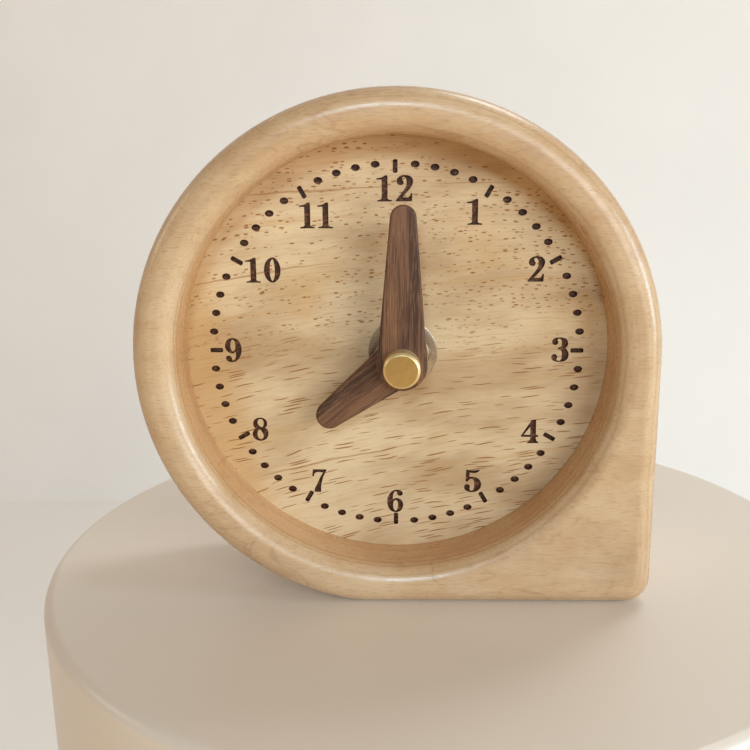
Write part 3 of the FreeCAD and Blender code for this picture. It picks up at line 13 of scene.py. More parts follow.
import bmesh
import bpy
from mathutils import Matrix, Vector


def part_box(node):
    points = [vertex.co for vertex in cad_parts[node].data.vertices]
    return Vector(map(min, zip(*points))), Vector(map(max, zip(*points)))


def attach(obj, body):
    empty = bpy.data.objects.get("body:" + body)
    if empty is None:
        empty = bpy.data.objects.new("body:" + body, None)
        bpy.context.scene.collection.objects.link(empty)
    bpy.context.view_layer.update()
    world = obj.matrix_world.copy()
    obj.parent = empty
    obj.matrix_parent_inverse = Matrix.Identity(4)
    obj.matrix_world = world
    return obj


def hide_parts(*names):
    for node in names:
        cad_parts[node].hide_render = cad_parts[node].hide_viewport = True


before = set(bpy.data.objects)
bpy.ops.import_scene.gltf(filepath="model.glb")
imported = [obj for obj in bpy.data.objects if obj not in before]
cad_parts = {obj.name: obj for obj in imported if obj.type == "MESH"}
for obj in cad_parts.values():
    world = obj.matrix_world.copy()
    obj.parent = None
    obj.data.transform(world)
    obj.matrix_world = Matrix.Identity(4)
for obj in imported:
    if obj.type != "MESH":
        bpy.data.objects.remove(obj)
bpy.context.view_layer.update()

MM = 0.001
HAIR = 0.02 * MM
PER_MM = (1 / MM, 1 / MM, 1 / MM)
ALONG_Y = (math.pi / 2, 0, 0)
CASE_CORNERS = 256
ROUND_CORNERS = 96
BORE_CORNERS = 64
DIAL_HEIGHT = 54.2 * MM
HANDS_AXIS = (1.55 * MM, 53.82 * MM)
log = logging.getLogger("desk_clock")

Colour = tuple[float, float, float]
Place = tuple[float, float, float]
Socket = bpy.types.NodeSocket
Looks = bpy.types.Material
Value = Union[float, Socket]
Thing = bpy.types.Object


class Body(Enum):
    """Bodies that the pieces ride on."""

    CASE = "root"
    MINUTE_HAND = "minute_hand"
    HOUR_HAND = "hour_hand"


def linear(colour: Colour) -> tuple[float, float, float, float]:
    """Turns a screen colour into the light that a shader takes.

    Args:
        colour: Red, green and blue from 0 to 255, as a screen shows them.

    Returns:
        The same colour as linear light, with full cover.
    """
    parts = [c / 255 for c in colour]
    red, green, blue = (c / 12.92 if c <= 0.04045 else ((c + 0.055) / 1.055) ** 2.4 for c in parts)
    return red, green, blue, 1.0


def shaded(colour: Colour, share: float) -> tuple[float, float, float, float]:
    """Darker tone of a screen colour, as linear light."""
    return linear(tuple(c * share for c in colour))


def reach_along_y(node: str) -> tuple[float, float]:
    """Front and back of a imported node."""
    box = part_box(node)
    return box[0].y, box[1].y


class Bench:
    """Hand tools that every sub-assembly shapes its pieces with."""

    @staticmethod
    def clear() -> None:
        """Leaves nothing selected."""
        if bpy.context.object is not None and bpy.context.object.mode == "EDIT":
            bpy.ops.object.mode_set(mode="OBJECT")
        bpy.ops.object.select_all(action="DESELECT")

    @staticmethod
    def take(piece: Thing) -> None:
        """Makes a piece the only one selected, and the active one."""
        Bench.clear()
        piece.select_set(True)
        bpy.context.view_layer.objects.active = piece

    @staticmethod
    def name_and_settle(name: str) -> Thing:
        """Names the piece just added and moves its place into its mesh.

        Args:
            name: The piece's name.

        Returns:
            The piece.
        """
        piece = bpy.context.object
        piece.name = piece.data.name = name
        bpy.ops.object.transform_apply(location=True, rotation=True, scale=True)
        return piece

    @staticmethod
    @contextmanager
    def editing(piece: Thing) -> Iterator[bpy.types.Mesh]:
        """Opens a piece's mesh for editing with everything selected, and closes it again.

        Args:
            piece: The piece to edit.

        Yields:
            The piece's mesh.
        """
        Bench.take(piece)
        bpy.ops.object.mode_set(mode="EDIT")
        bpy.ops.mesh.select_all(action="SELECT")
        yield piece.data
        bpy.ops.object.mode_set(mode="OBJECT")

    @staticmethod
    def pick(kind: str, test: Callable[..., bool]) -> None:
        """Selects parts of the mesh in edit mode, and nothing else.

        Args:
            kind: "verts", "edges" or "faces".
            test: Says for one vertex, edge or face whether it is picked.
        """
        modes = {"verts": "VERT", "edges": "EDGE", "faces": "FACE"}
        bpy.ops.mesh.select_mode(type=modes[kind])
        bpy.ops.mesh.select_all(action="DESELECT")
        data = bmesh.from_edit_mesh(bpy.context.object.data)
        for part in getattr(data, kind):
            if test(part):
                part.select_set(True)
        data.select_flush_mode()
        bmesh.update_edit_mesh(bpy.context.object.data)

    @staticmethod
    def pick_rings(*places: float) -> None:
        """Selects the edges that lie in planes across Y.

        Args:
            places: Places of the planes along Y.
        """

        def lies_there(edge: bmesh.types.BMEdge) -> bool:
            """Whether both ends lie in one of the planes."""
            return any(all(abs(v.co.y - y) < HAIR for v in edge.verts) for y in places)

        Bench.pick("edges", lies_there)

    @staticmethod
    def extrude(move: Place) -> None:
        """Extrudes what is selected and moves the new part."""
        bpy.ops.mesh.extrude_region_move(TRANSFORM_OT_translate={"value": move})

    @staticmethod
    def close_up() -> None:
        """Merges doubled points and turns all faces outwards."""
        bpy.ops.mesh.select_all(action="SELECT")
        bpy.ops.mesh.remove_doubles(threshold=HAIR / 20)
        bpy.ops.mesh.normals_make_consistent(inside=False)

    @staticmethod
    def turn(name: str, axis: tuple[float, float], profile: Sequence[tuple[float, float]], corners: int,
             ring: bool = False) -> Thing:
        """Turns a shape about a line along Y, from ring to ring.

        Args:
            name: The piece's name.
            axis: The line's X and Z.
            profile: Radius and Y of each ring in turn.
            corners: Points round each ring.
            ring: Whether the last ring joins the first. Otherwise both ends get a face.

        Returns:
            The turned piece.
        """
        radius, y = profile[0]
        Bench.clear()
        bpy.ops.mesh.primitive_circle_add(
            vertices=corners, radius=radius, location=(axis[0], y, axis[1]), rotation=ALONG_Y
        )
        piece = Bench.name_and_settle(name)
        with Bench.editing(piece):
            for next_radius, next_y in [*profile[1:], *(profile[:1] if ring else [])]:
                Bench.extrude((0, next_y - y, 0))
                share = next_radius / radius
                bpy.ops.transform.resize(
                    value=(share, 1, share), center_override=(axis[0], next_y, axis[1])
                )
                radius, y = next_radius, next_y
            if not ring:
                bpy.ops.mesh.select_mode(type="EDGE")
                bpy.ops.mesh.select_all(action="DESELECT")
                bpy.ops.mesh.select_non_manifold()
                bpy.ops.mesh.fill_holes(sides=0)
            Bench.close_up()
        return piece

    @staticmethod
    def cylinder(corners: int, radius: float, depth: float, centre: Place, roll: float = 0.0) -> None:
        """Adds a cylinder that lies along Y."""
        bpy.ops.mesh.primitive_cylinder_add(
            vertices=corners, radius=radius, depth=depth, location=centre, rotation=(math.pi / 2, roll, 0)
        )

    @staticmethod
    def bevel(width: float, segments: int) -> None:
        """Rounds the selected edges."""
        bpy.ops.mesh.bevel(offset=width, segments=segments, profile=0.5, affect="EDGES", clamp_overlap=False)

    @staticmethod
    def modify(piece: Thing, kind: str, **settings: object) -> None:
        """Adds one modifier and applies it.

        Args:
            piece: The piece to change.
            kind: The modifier's type.
            settings: The modifier's settings.
        """
        Bench.take(piece)
        made = piece.modifiers.new(kind.title(), kind)
        for setting, value in settings.items():
            setattr(made, setting, value)
        bpy.ops.object.modifier_apply(modifier=made.name)

    @staticmethod
    def carve(piece: Thing, tool: Thing, operation: str = "DIFFERENCE") -> None:
        """Cuts a piece with a second shape, which is then removed."""
        Bench.modify(piece, "BOOLEAN", object=tool, operation=operation, solver="EXACT")
        bpy.data.objects.remove(tool)

    @staticmethod
    def smooth(piece: Thing, degrees: float = 32) -> None:
        """Shades a piece smoothly, with crisp edges where its faces meet at more than an angle."""
        Bench.take(piece)
        bpy.ops.object.shade_smooth_by_angle(angle=math.radians(degrees))
        Bench.modify(piece, "WEIGHTED_NORMAL", keep_sharp=True, weight=50)


@dataclass(frozen=True)
class Pattern:
    """Cloudy pattern of a finish: cells in each unit along each axis, layers, their share, bend and origin."""

    scale: Place
    detail: float = 3.0
    rough: float = 0.5
    warp: float = 0.0
    centre: Place = (0, 0, 0)


class Recipe:
    """Node tree of one finish."""

    def __init__(self, name: str, roughness: float = 0.5, metallic: float = 0.0, gloss: float = 0.5) -> None:
        """Starts a finish with a plain shader.

        Args:
            name: The material's name.
            roughness: How matt it is.
            metallic: 1 for bare metal, 0 for the rest.
            gloss: Strength of its plain reflections.
        """
        self.material = bpy.data.materials.new(name)
        self.material.use_nodes = True
        self.tree = self.material.node_tree
        self.tree.nodes.clear()
        self.shader = self.node("ShaderNodeBsdfPrincipled")
        self.shader.inputs["Roughness"].default_value = roughness
        self.shader.inputs["Metallic"].default_value = metallic
        self.shader.inputs["Specular IOR Level"].default_value = gloss
        output = self.node("ShaderNodeOutputMaterial")
        self.tree.links.new(self.shader.outputs["BSDF"], output.inputs["Surface"])
        self.object_place = self.node("ShaderNodeTexCoord").outputs["Object"]
        self.place = self.scaled(self.object_place, PER_MM)

    def node(self, kind: str, **settings: object) -> bpy.types.Node:
        """Adds a node and gives it its settings."""
        made = self.tree.nodes.new(kind)
        for setting, value in settings.items():
            setattr(made, setting, value)
        return made

    def put(self, socket: Socket, value: object) -> None:
        """Links a socket to another one, or sets it to a value."""
        if isinstance(value, Socket):
            self.tree.links.new(value, socket)
        else:
            socket.default_value = value

    def scaled(self, place: Socket, scale: Place, turn: Place = (0, 0, 0),
               centre: Place = (0, 0, 0)) -> Socket:
        """Centres, turns and then scales a pattern's place.

        Args:
            place: The place to change.
            scale: Factor along each of the turned axes.
            turn: Turn about each axis, in radians.
            centre: Place that becomes the pattern's origin.

        Returns:
            The new place.
        """
        made = self.node("ShaderNodeMapping", vector_type="TEXTURE")
        self.put(made.inputs["Vector"], place)
        made.inputs["Location"].default_value = centre
        made.inputs["Rotation"].default_value = turn
        made.inputs["Scale"].default_value = tuple(1 / s for s in scale)
        return made.outputs["Vector"]

    def fed(self, kind: str, *values: object, **settings: object) -> Sequence[Socket]:
        """Adds a node and feeds its first inputs in turn.

        Args:
            kind: The node's type.
            values: What its inputs get.
            settings: The node's settings.

        Returns:
            Its outputs.
        """
        made = self.node(kind, **settings)
        for socket, value in zip(made.inputs, values):
            self.put(socket, value)
        return made.outputs

    def split(self, place: Socket) -> Sequence[Socket]:
        """Parts a place into X, Y and Z."""
        return self.fed("ShaderNodeSeparateXYZ", place)

    def joined(self, x: Value, y: Value, z: Value = 0.0) -> Socket:
        """Makes a place from X, Y and Z."""
        return self.fed("ShaderNodeCombineXYZ", x, y, z)[0]

    def sum(self, operation: str, first: Value, second: Value = 0.0, third: Value = 0.0) -> Socket:
        """Works out one sum of two or three values."""
        return self.fed("ShaderNodeMath", first, second, third, operation=operation)[0]

    def times(self, first: Value, second: Value) -> Socket:
        """Multiplies two values."""
        return self.sum("MULTIPLY", first, second)

    def plus(self, first: Value, second: Value) -> Socket:
        """Adds two values."""
        return self.sum("ADD", first, second)

    def less(self, first: Value, second: Value) -> Socket:
        """Takes the second value from the first."""
        return self.sum("SUBTRACT", first, second)

    def radius(self, x: Value, z: Value) -> Socket:
        """Distance from the Y axis."""
        return self.sum("SQRT", self.sum("MULTIPLY_ADD", x, x, self.times(z, z)))

    def span(self, value: Value, low: float, high: float, start: float = 0.0,
             end: float = 1.0) -> Socket:
        """Maps a range of values to another with soft ends."""
        return self.fed("ShaderNodeMapRange", value, low, high, start, end, interpolation_type="SMOOTHSTEP")[0]

    def fall(self, value: Value, low: float, high: float) -> Socket:
        """Gives 1 up to the low value and 0 from the high one."""
        return self.span(value, low, high, 1.0, 0.0)

    def noise(self, place: Socket, scale: float = 1.0, detail: float = 3.0,
              rough: float = 0.5, warp: float = 0.0) -> Socket:
        """Cloudy noise from about 0.2 to 0.8.

        Args:
            place: Where the noise is read.
            scale: Cells in each unit of the place.
            detail: Layers of finer noise.
            rough: Share of each finer layer.
            warp: How far the noise bends itself.

        Returns:
            The noise.
        """
        made = self.node("ShaderNodeTexNoise")
        self.put(made.inputs["Vector"], place)
        for name, value in (("Scale", scale), ("Detail", detail), ("Roughness", rough), ("Distortion", warp)):
            made.inputs[name].default_value = value
        return made.outputs["Fac"]

    def pattern(self, given: Pattern, place: Socket | None = None) -> Socket:
        """Reads a cloudy pattern, in millimetres of the piece's own space unless a place is given."""
        read_at = self.scaled(self.place if place is None else place, given.scale, centre=given.centre)
        return self.noise(read_at, detail=given.detail, rough=given.rough, warp=given.warp)

    def cells(self, place: Socket) -> tuple[Socket, Sequence[Socket]]:
        """Scattered points: the distance to the nearest one, and three random numbers of its own."""
        made = self.node("ShaderNodeTexVoronoi", voronoi_dimensions="2D")
        self.put(made.inputs["Vector"], place)
        made.inputs["Scale"].default_value = 1.0
        return made.outputs["Distance"], self.fed("ShaderNodeSeparateColor", made.outputs["Color"])

    def mix(self, share: Value, first: object, second: object, blend: str = "MIX") -> Socket:
        """Mixes two colours, each given as a socket or as a linear colour."""
        made = self.node("ShaderNodeMix", data_type="RGBA", blend_type=blend)
        self.put(made.inputs[0], share)
        self.put(made.inputs[6], first)
        self.put(made.inputs[7], second)
        return made.outputs[2]

    def veil(self, tone: object, value: Value, colour: Colour, low: float, high: float,
             strength: float = 1.0) -> Socket:
        """Lays a colour over a tone where a value is high."""
        return self.mix(self.span(value, low, high, 0.0, strength), tone, linear(colour))

    def bump(self, height: Socket, depth_mm: float, strength: float = 1.0,
             under: Socket | None = None) -> Socket:
        """Raises the surface by a height.

        Args:
            height: The height, from 0 to 1.
            depth_mm: What a height of 1 stands for.
            strength: How much of it shows.
            under: A bump that this one lies on.

        Returns:
            The bumped normal.
        """
        made = self.node("ShaderNodeBump")
        self.put(made.inputs["Height"], height)
        made.inputs["Distance"].default_value = depth_mm * MM
        made.inputs["Strength"].default_value = strength
        if under is not None:
            self.put(made.inputs["Normal"], under)
        return made.outputs["Normal"]

    def finish(self, colour: object = None, normal: object = None, roughness: object = None) -> Looks:
        """Links what varies over the surface to the shader, and gives the material."""
        for name, value in (("Base Color", colour), ("Normal", normal), ("Roughness", roughness)):
            if value is not None:
                self.put(self.shader.inputs[name], value)
        return self.material


@dataclass(frozen=True)
class CaseWood:
    """Pale close-grained hardwood, with its grain along the clock's width, its layers one behind another, and
    painted shade on the recess walls.
    """

    pale: Colour = (219, 190, 152)
    warm: Colour = (208, 173, 133)
    # honey: colour of the painted shade on the recess walls
    honey: Colour = (216, 164, 108)
    line: Colour = (164, 122, 84)
    face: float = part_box("clock_case")[0].y / MM
    # The next five fields set where the painted shade on the recess walls lies and how strong it is.
    recess: float = 47.0
    recess_blur: float = 0.8
    recess_shade_strength: float = 0.55
    recess_shade_from: float = 1.5
    recess_shade_to: float = 5.0
    ring_from: float = 0.8
    ring_to: float = 3.0
    layers_per_mm: float = 1.1
    layer_swell: float = 3.0
    layer_lean: float = 0.004
    ring_strength: float = 0.55
    vein_width: float = 0.022
    vein_strength: float = 0.34
    swell: Pattern = Pattern((0.012, 0.02, 0.03), detail=2, warp=0.4)
    clouds: Pattern = Pattern((0.05, 0.08, 0.10), detail=4, rough=0.6)
    mottle: Pattern = Pattern((0.16, 0.5, 0.34), detail=4, rough=0.65, warp=0.6)
    hairs: Pattern = Pattern((0.34, 3.4, 3.4), detail=2)
    fibre: Pattern = Pattern((0.7, 6.0, 6.0), rough=0.6)
    swirl: Pattern = Pattern((0.045, 0.06, 0.08), detail=2, warp=1.4)

    def make(self) -> Looks:
        """Mixes the finish.

        Returns:
            The material.
        """
        wood = Recipe("case_wood_looks", gloss=0.68)
        x, y, z = wood.split(wood.place)
        swell = wood.times(wood.pattern(self.swell), self.layer_swell)
        layer = wood.plus(wood.times(y, self.layers_per_mm), swell)
        rings = wood.noise(wood.joined(0.0, layer, wood.times(x, self.layer_lean)), rough=0.6)
        clouds, mottle = wood.pattern(self.clouds), wood.pattern(self.mottle)
        hairs, fibre = wood.pattern(self.hairs), wood.pattern(self.fibre)
        tone = wood.veil(linear(self.pale), clouds, self.warm, low=0.34, high=0.7)
        radius = wood.radius(x, wood.less(z, DIAL_HEIGHT / MM))
        # Painted shade: from a little behind the front face, the recess walls turn towards honey, for the warm
        # shade inside the recess.
        inside = wood.times(
            wood.span(y, self.face + self.recess_shade_from, self.face + self.recess_shade_to, end=self.recess_shade_strength),
            wood.fall(radius, self.recess, self.recess + self.recess_blur),
        )
        tone = wood.mix(inside, tone, linear(self.honey))
        behind = wood.span(y, self.face + self.ring_from, self.face + self.ring_to, start=0.5)
        ringed = wood.times(wood.span(rings, 0.48, 0.64, end=self.ring_strength), behind)
        tone = wood.mix(ringed, tone, linear(self.line))
        off_vein = wood.sum("ABSOLUTE", wood.less(wood.pattern(self.swirl), 0.5))
        vein = wood.times(
            wood.fall(off_vein, 0.0, self.vein_width),
            wood.span(clouds, 0.48, 0.6, end=self.vein_strength),
        )
        tone = wood.mix(vein, tone, linear(self.line))
        tone = wood.veil(tone, mottle, self.line, low=0.46, high=0.7, strength=0.14)
        tone = wood.veil(tone, hairs, self.line, low=0.52, high=0.68, strength=0.34)
        tone = wood.veil(tone, fibre, self.line, low=0.5, high=0.75, strength=0.14)
        normal = wood.bump(fibre, depth_mm=0.012, strength=0.5, under=wood.bump(hairs, depth_mm=0.03, strength=0.5))
        return wood.finish(tone, normal, wood.span(mottle, 0.3, 0.7, start=0.25, end=0.34))


@dataclass(frozen=True)
class Dashes:
    """Short strokes along the grain: room for one, the share of it that is filled, and the share of rooms used."""

    length: float
    gap: float
    size: float
    share: float

    def draw(self, wood: Recipe, along: Value, across: Value) -> Socket:
        """Draws the strokes.

        Args:
            wood: The recipe that they belong to.
            along: Place along the grain.
            across: Place across the grain.

        Returns:
            1 on a stroke and 0 beside it.
        """
        room = wood.joined(wood.sum("DIVIDE", along, self.length), wood.sum("DIVIDE", across, self.gap))
        distance, chance = wood.cells(room)
        reach = wood.sum("MULTIPLY_ADD", chance[0], self.size, self.size * 0.5)
        stroke = wood.less(1.0, wood.sum("DIVIDE", distance, reach))
        kept = wood.sum("GREATER_THAN", chance[1], 1.0 - self.share)
        return wood.times(wood.span(stroke, 0.0, 0.35), kept)


@dataclass(frozen=True)
class DialWood:
    """Pale wood with short brown pores, and marks burnt into it."""

    pale: Colour = (234, 210, 170)
    honey: Colour = (213, 172, 115)
    grey: Colour = (198, 166, 126)
    pore: Colour = (160, 101, 42)
    burnt: Colour = (74, 38, 20)
    scorched: Colour = (148, 96, 58)
    face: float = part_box("dial_panel")[0].y / MM
    middle: float = DIAL_HEIGHT / MM
    lean: float = -0.12
    lean_change: float = 0.0026
    arch: float = 0.0009
    wave_height: float = 3.0
    border_wave: float = 12.0
    border_width: float = 16.0
    edge_lean: float = 0.22
    edge_ends: tuple[float, float] = (-30.0, -20.0)
    edge_strength: float = 0.7
    mark_top: tuple[float, float] = (0.02, 0.08)
    mark_floor: tuple[float, float] = (1.4, 1.5)
    thread_strength: float = 0.6
    pore_strength: float = 0.88
    short: Dashes = Dashes(length=2.4, gap=0.75, size=0.2, share=0.8)
    long: Dashes = Dashes(length=10.5, gap=0.62, size=0.19, share=0.5)
    threads: Dashes = Dashes(length=150.0, gap=1.7, size=0.1, share=0.35)
    wave: Pattern = Pattern((0.05, 0.0001, 0.12))
    rows: Pattern = Pattern((0.012, 0.7, 1.0), detail=2)
    clouds: Pattern = Pattern((0.025, 0.07, 1.0), detail=4, rough=0.55)
    patches: Pattern = Pattern((0.04, 0.05, 1.0), centre=(40.0, 13.0, 0.0))
    silk: Pattern = Pattern((0.16, 2.6, 1.0), detail=5, rough=0.65)
    bands: Pattern = Pattern((0.01, 0.5, 1.0), rough=0.6)
    char: Pattern = Pattern((1.1, 1.1, 1.7), detail=4, rough=0.65)

    def make(self) -> Looks:
        """Mixes the finish.

        Returns:
            The material.
        """
        wood = Recipe("dial_wood_looks", roughness=0.5, gloss=0.4)
        x, y, height = wood.split(wood.place)
        z = wood.less(height, self.middle)
        wave = wood.pattern(self.wave)
        across = wood.sum("MULTIPLY_ADD", x, wood.sum("MULTIPLY_ADD", z, self.lean_change, self.lean), z)
        across = wood.plus(across, wood.times(wood.times(x, x), self.arch))
        across = wood.plus(across, wood.times(wave, self.wave_height))
        grain = wood.joined(x, across, 0.0)
        upper = wood.span(wood.plus(z, wood.times(wave, self.border_wave)), 0.0, self.border_width)
        lower = wood.less(1.0, upper)
        short = wood.times(
            self.short.draw(wood, x, across),
            wood.span(wood.pattern(self.rows, grain), 0.44, 0.54),
        )
        long, threads = self.long.draw(wood, x, across), self.threads.draw(wood, x, across)
        silk = wood.pattern(self.silk, grain)
        side = wood.sum("MULTIPLY_ADD", height, self.edge_lean, x)
        edge = wood.span(side, *self.edge_ends, start=self.edge_strength, end=0.0)
        tone = wood.veil(linear(self.pale), wood.pattern(self.clouds, grain), self.grey, low=0.36, high=0.66)
        tone = wood.veil(tone, wood.pattern(self.patches, grain), self.honey, low=0.52, high=0.74, strength=0.6)
        tone = wood.mix(edge, tone, linear(self.honey))
        tone = wood.veil(tone, wood.pattern(self.bands, grain), self.honey, low=0.52, high=0.7, strength=0.38)
        tone = wood.veil(tone, silk, self.pore, low=0.48, high=0.72, strength=0.30)
        pores = wood.sum("MAXIMUM", wood.times(short, upper), wood.times(long, lower))
        pores = wood.sum("MAXIMUM", pores, wood.times(threads, self.thread_strength))
        tone = wood.mix(wood.times(pores, self.pore_strength), tone, linear(self.pore))
        soot = wood.veil(linear(self.burnt), wood.pattern(self.char), self.scorched, low=0.46, high=0.68)
        deep = wood.times(
            wood.span(y, *(self.face + depth for depth in self.mark_top)),
            wood.fall(y, *(self.face + depth for depth in self.mark_floor)),
        )
        tone = wood.mix(deep, tone, soot)
        normal = wood.bump(pores, depth_mm=-0.06, strength=0.6, under=wood.bump(silk, depth_mm=0.04, strength=0.5))
        return wood.finish(tone, normal, wood.span(silk, 0.3, 0.7, start=0.44, end=0.58))


@dataclass(frozen=True)
class HandWood:
    """Dark hardwood with its grain along a hand."""

    clockwise: float
    pivot: Place
    brown: Colour = (130, 91, 64)
    dark: Colour = (72, 46, 33)
    light: Colour = (172, 130, 96)
    bands: Pattern = Pattern((0.55, 0.3, 0.02), rough=0.6, warp=0.3)
    silk: Pattern = Pattern((2.4, 2.4, 0.07), detail=5, rough=0.7)
    fibre: Pattern = Pattern((6.0, 6.0, 0.25), rough=0.6)

    def make(self) -> Looks:
        """Mixes the finish.

        Returns:
            The material.
        """
        wood = Recipe(f"hand_wood_looks_{int(self.clockwise)}", roughness=0.46, gloss=0.4)
        turned = wood.scaled(
            wood.place, (1, 1, 1), (0, math.radians(self.clockwise), 0), tuple(p / MM for p in self.pivot)
        )
        silk, fibre = wood.pattern(self.silk, turned), wood.pattern(self.fibre, turned)
        tone = wood.veil(linear(self.brown), wood.pattern(self.bands, turned), self.dark, low=0.38, high=0.65)
        tone = wood.veil(tone, silk, self.dark, low=0.46, high=0.62, strength=0.75)
        tone = wood.veil(tone, fibre, self.light, low=0.5, high=0.7, strength=0.45)
        normal = wood.bump(fibre, depth_mm=0.03, strength=0.5, under=wood.bump(silk, depth_mm=0.05, strength=0.5))
        return wood.finish(tone, normal, wood.span(silk, 0.3, 0.7, start=0.4, end=0.55))


@dataclass(frozen=True)
class Metal:
    """Bare or plated metal with fine tool marks."""

    name: str
    colour: Colour
    roughness: float
    spread: float = 0.06
    grain: Place = (1.2, 1.2, 1.2)
    shade: float = 0.85
    depth: float = 0.01

    def make(self) -> Looks:
        """Mixes the finish.

        Returns:
            The material.
        """
        metal = Recipe(self.name, metallic=1.0)
        marks = metal.noise(metal.scaled(metal.place, self.grain), detail=5, rough=0.65)
        haze = metal.noise(metal.scaled(metal.place, (0.25, 0.25, 0.25)), detail=2)
        tone = metal.mix(metal.span(haze, 0.3, 0.7), linear(self.colour), shaded(self.colour, self.shade))
        low, high = self.roughness - self.spread, self.roughness + self.spread
        return metal.finish(tone, metal.bump(marks, self.depth, 0.4), metal.span(marks, 0.3, 0.7, low, high))


@dataclass(frozen=True)
class CapBrass:
    """Satin brass with a painted highlight: the bevel round its face is coloured pale and bright."""

    centre: tuple[float, float]
    face_radius: float
    face: Colour = (216, 186, 124)
    # bevel: pale, bright colour of the bevel ring, a painted highlight standing in for its reflection
    bevel: Colour = (248, 222, 168)
    shade: float = 0.95

    def make(self) -> Looks:
        """Mixes the finish.

        Returns:
            The material.
        """
        brass = Recipe("satin_brass_looks", metallic=1.0)
        around = brass.scaled(brass.object_place, PER_MM, centre=(self.centre[0], 0, self.centre[1]))
        x, _, z = brass.split(around)
        edge = self.face_radius / MM
        # rim: mask of the bevel ring, where the painted highlight goes; the metal there is also less metallic and
        # rougher
        rim = brass.span(brass.radius(x, z), edge - 0.06, edge + 0.04)
        haze = brass.noise(brass.scaled(brass.place, (0.6, 0.6, 0.6)), detail=3)
        tone = brass.mix(brass.span(haze, 0.3, 0.7), linear(self.face), shaded(self.face, self.shade))
        # Painted highlight: the bevel ring takes the pale bevel colour.
        tone = brass.mix(rim, tone, linear(self.bevel))
        brass.put(brass.shader.inputs["Metallic"], brass.span(rim, 0.0, 1.0, start=1.0, end=0.7))
        return brass.finish(tone, roughness=brass.span(rim, 0.0, 1.0, start=0.3, end=0.42))


@dataclass(frozen=True)
class Moulded:
    """Moulded plastic, rubber, resin or pressed powder with a fine skin."""

    name: str
    colour: Colour
    roughness: float = 0.5
    grit: float = 3.0
    depth: float = 0.02
    shade: float = 0.88
    gloss: float = 0.45
    spread: float = 0.06

    def make(self) -> Looks:
        """Mixes the finish.

        Returns:
            The material.
        """
        skin = Recipe(self.name, gloss=self.gloss)
        fine = skin.noise(skin.place, scale=self.grit, detail=3, rough=0.6)
        haze = skin.noise(skin.place, scale=0.12, detail=3)
        tone = skin.mix(skin.span(haze, 0.3, 0.7), linear(self.colour), shaded(self.colour, self.shade))
        rough = skin.span(fine, 0.3, 0.7, self.roughness - self.spread, self.roughness + self.spread)
        return skin.finish(tone, skin.bump(fine, self.depth, 0.5), rough)


@dataclass(frozen=True)
class CellSleeve:
    """Printed film round the battery: a dark body with a pale band near its raised end."""

    body: Colour = (46, 49, 55)
    band: Colour = (186, 188, 186)
    band_start: float = 14.5
    band_end: float = 16.0
    band_blur: float = 0.1

    def make(self) -> Looks:
        """Mixes the finish.

        Returns:
            The material.
        """
        film = Recipe("cell_sleeve_looks", gloss=0.5)
        x, _, _ = film.split(film.place)
        inside = film.times(
            film.span(x, self.band_start, self.band_start + self.band_blur),
            film.fall(x, self.band_end, self.band_end + self.band_blur),
        )
        wrinkle = film.noise(film.scaled(film.place, (0.5, 1.5, 1.5)), detail=3)
        tone = film.mix(inside, linear(self.body), linear(self.band))
        rough = film.span(wrinkle, 0.3, 0.7, start=0.24, end=0.34)
        return film.finish(tone, film.bump(wrinkle, depth_mm=0.008, strength=0.4), rough)


class Carried(Enum):
    """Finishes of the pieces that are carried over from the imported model, each with its pieces."""

    DIAL_WOOD = (DialWood(), ("dial_panel",))
    BRASS = (Metal("turned_brass_looks", (206, 170, 104), roughness=0.3), (
        "threaded_bushing", "hour_hand_bush", "clutch_collar",
    ))
    STEEL = (Metal("zinc_plated_steel_looks", (196, 197, 196), roughness=0.3, grain=(2.5, 0.4, 2.5)), (
        "minute_arbor", "clutch_spring",
    ))
    NICKEL = (Metal("nickel_plate_looks", (205, 200, 190), roughness=0.24), (
        "positive_contact", "negative_contact", "battery_can", "quartz_crystal",
    ))
    SOFT_IRON = (Metal("stamped_iron_looks", (150, 148, 144), roughness=0.42), ("stator_plate", "coil_core"))
    MAGNET = (Metal("sintered_magnet_looks", (78, 76, 75), roughness=0.55), ("rotor_magnet",))
    COPPER = (Metal("enamelled_copper_looks", (186, 104, 62), roughness=0.32, grain=(0.3, 6.0, 6.0)), (
        "coil_winding",
    ))
    RUBBER = (Moulded("rubber_looks", (34, 34, 34), roughness=0.8, grit=2.0, depth=0.04), (
        "movement_gasket",
    ))
    WHITE_PLASTIC = (Moulded("white_plastic_looks", (226, 224, 216), roughness=0.42), (
        "cannon_pinion", "hour_wheel", "minute_wheel", "setting_stem", "centre_wheel", "third_wheel",
        "fourth_wheel", "fifth_wheel", "rotor_pinion", "bridge_plate",
    ))
    BLACK_PLASTIC = (Moulded("black_plastic_looks", (38, 38, 40), grit=4.0, depth=0.03), (
        "movement_case", "movement_cover", "setting_knob",
    ))
    BOBBIN = (Moulded("bobbin_plastic_looks", (186, 74, 44), roughness=0.45), ("coil_bobbin",))
    BOARD = (Moulded("board_looks", (40, 96, 58), roughness=0.3, grit=1.2), ("circuit_board",))
    RESIN = (Moulded("resin_looks", (22, 22, 23), roughness=0.14, grit=0.8, depth=0.05), ("driver_chip",))
    FILLING = (Moulded("cell_filling_looks", (66, 66, 66), roughness=0.9, grit=6.0, depth=0.05), (
        "battery_filling",
    ))
    SLEEVE = (CellSleeve(), ("battery_sleeve",))


def hand_in(piece: Thing, body: Body, slot: str, looks: Looks, *nodes: str) -> Thing:
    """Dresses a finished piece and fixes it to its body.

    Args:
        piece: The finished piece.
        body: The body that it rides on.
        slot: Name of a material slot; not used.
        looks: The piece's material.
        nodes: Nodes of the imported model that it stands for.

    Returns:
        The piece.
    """
    piece.data.materials.clear()
    piece.data.materials.append(looks)
    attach(piece, body.value)
    if nodes:
        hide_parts(*nodes)
    log.info("%s rides on %s: %d faces", piece.name, body.value, len(piece.data.polygons))
    return piece


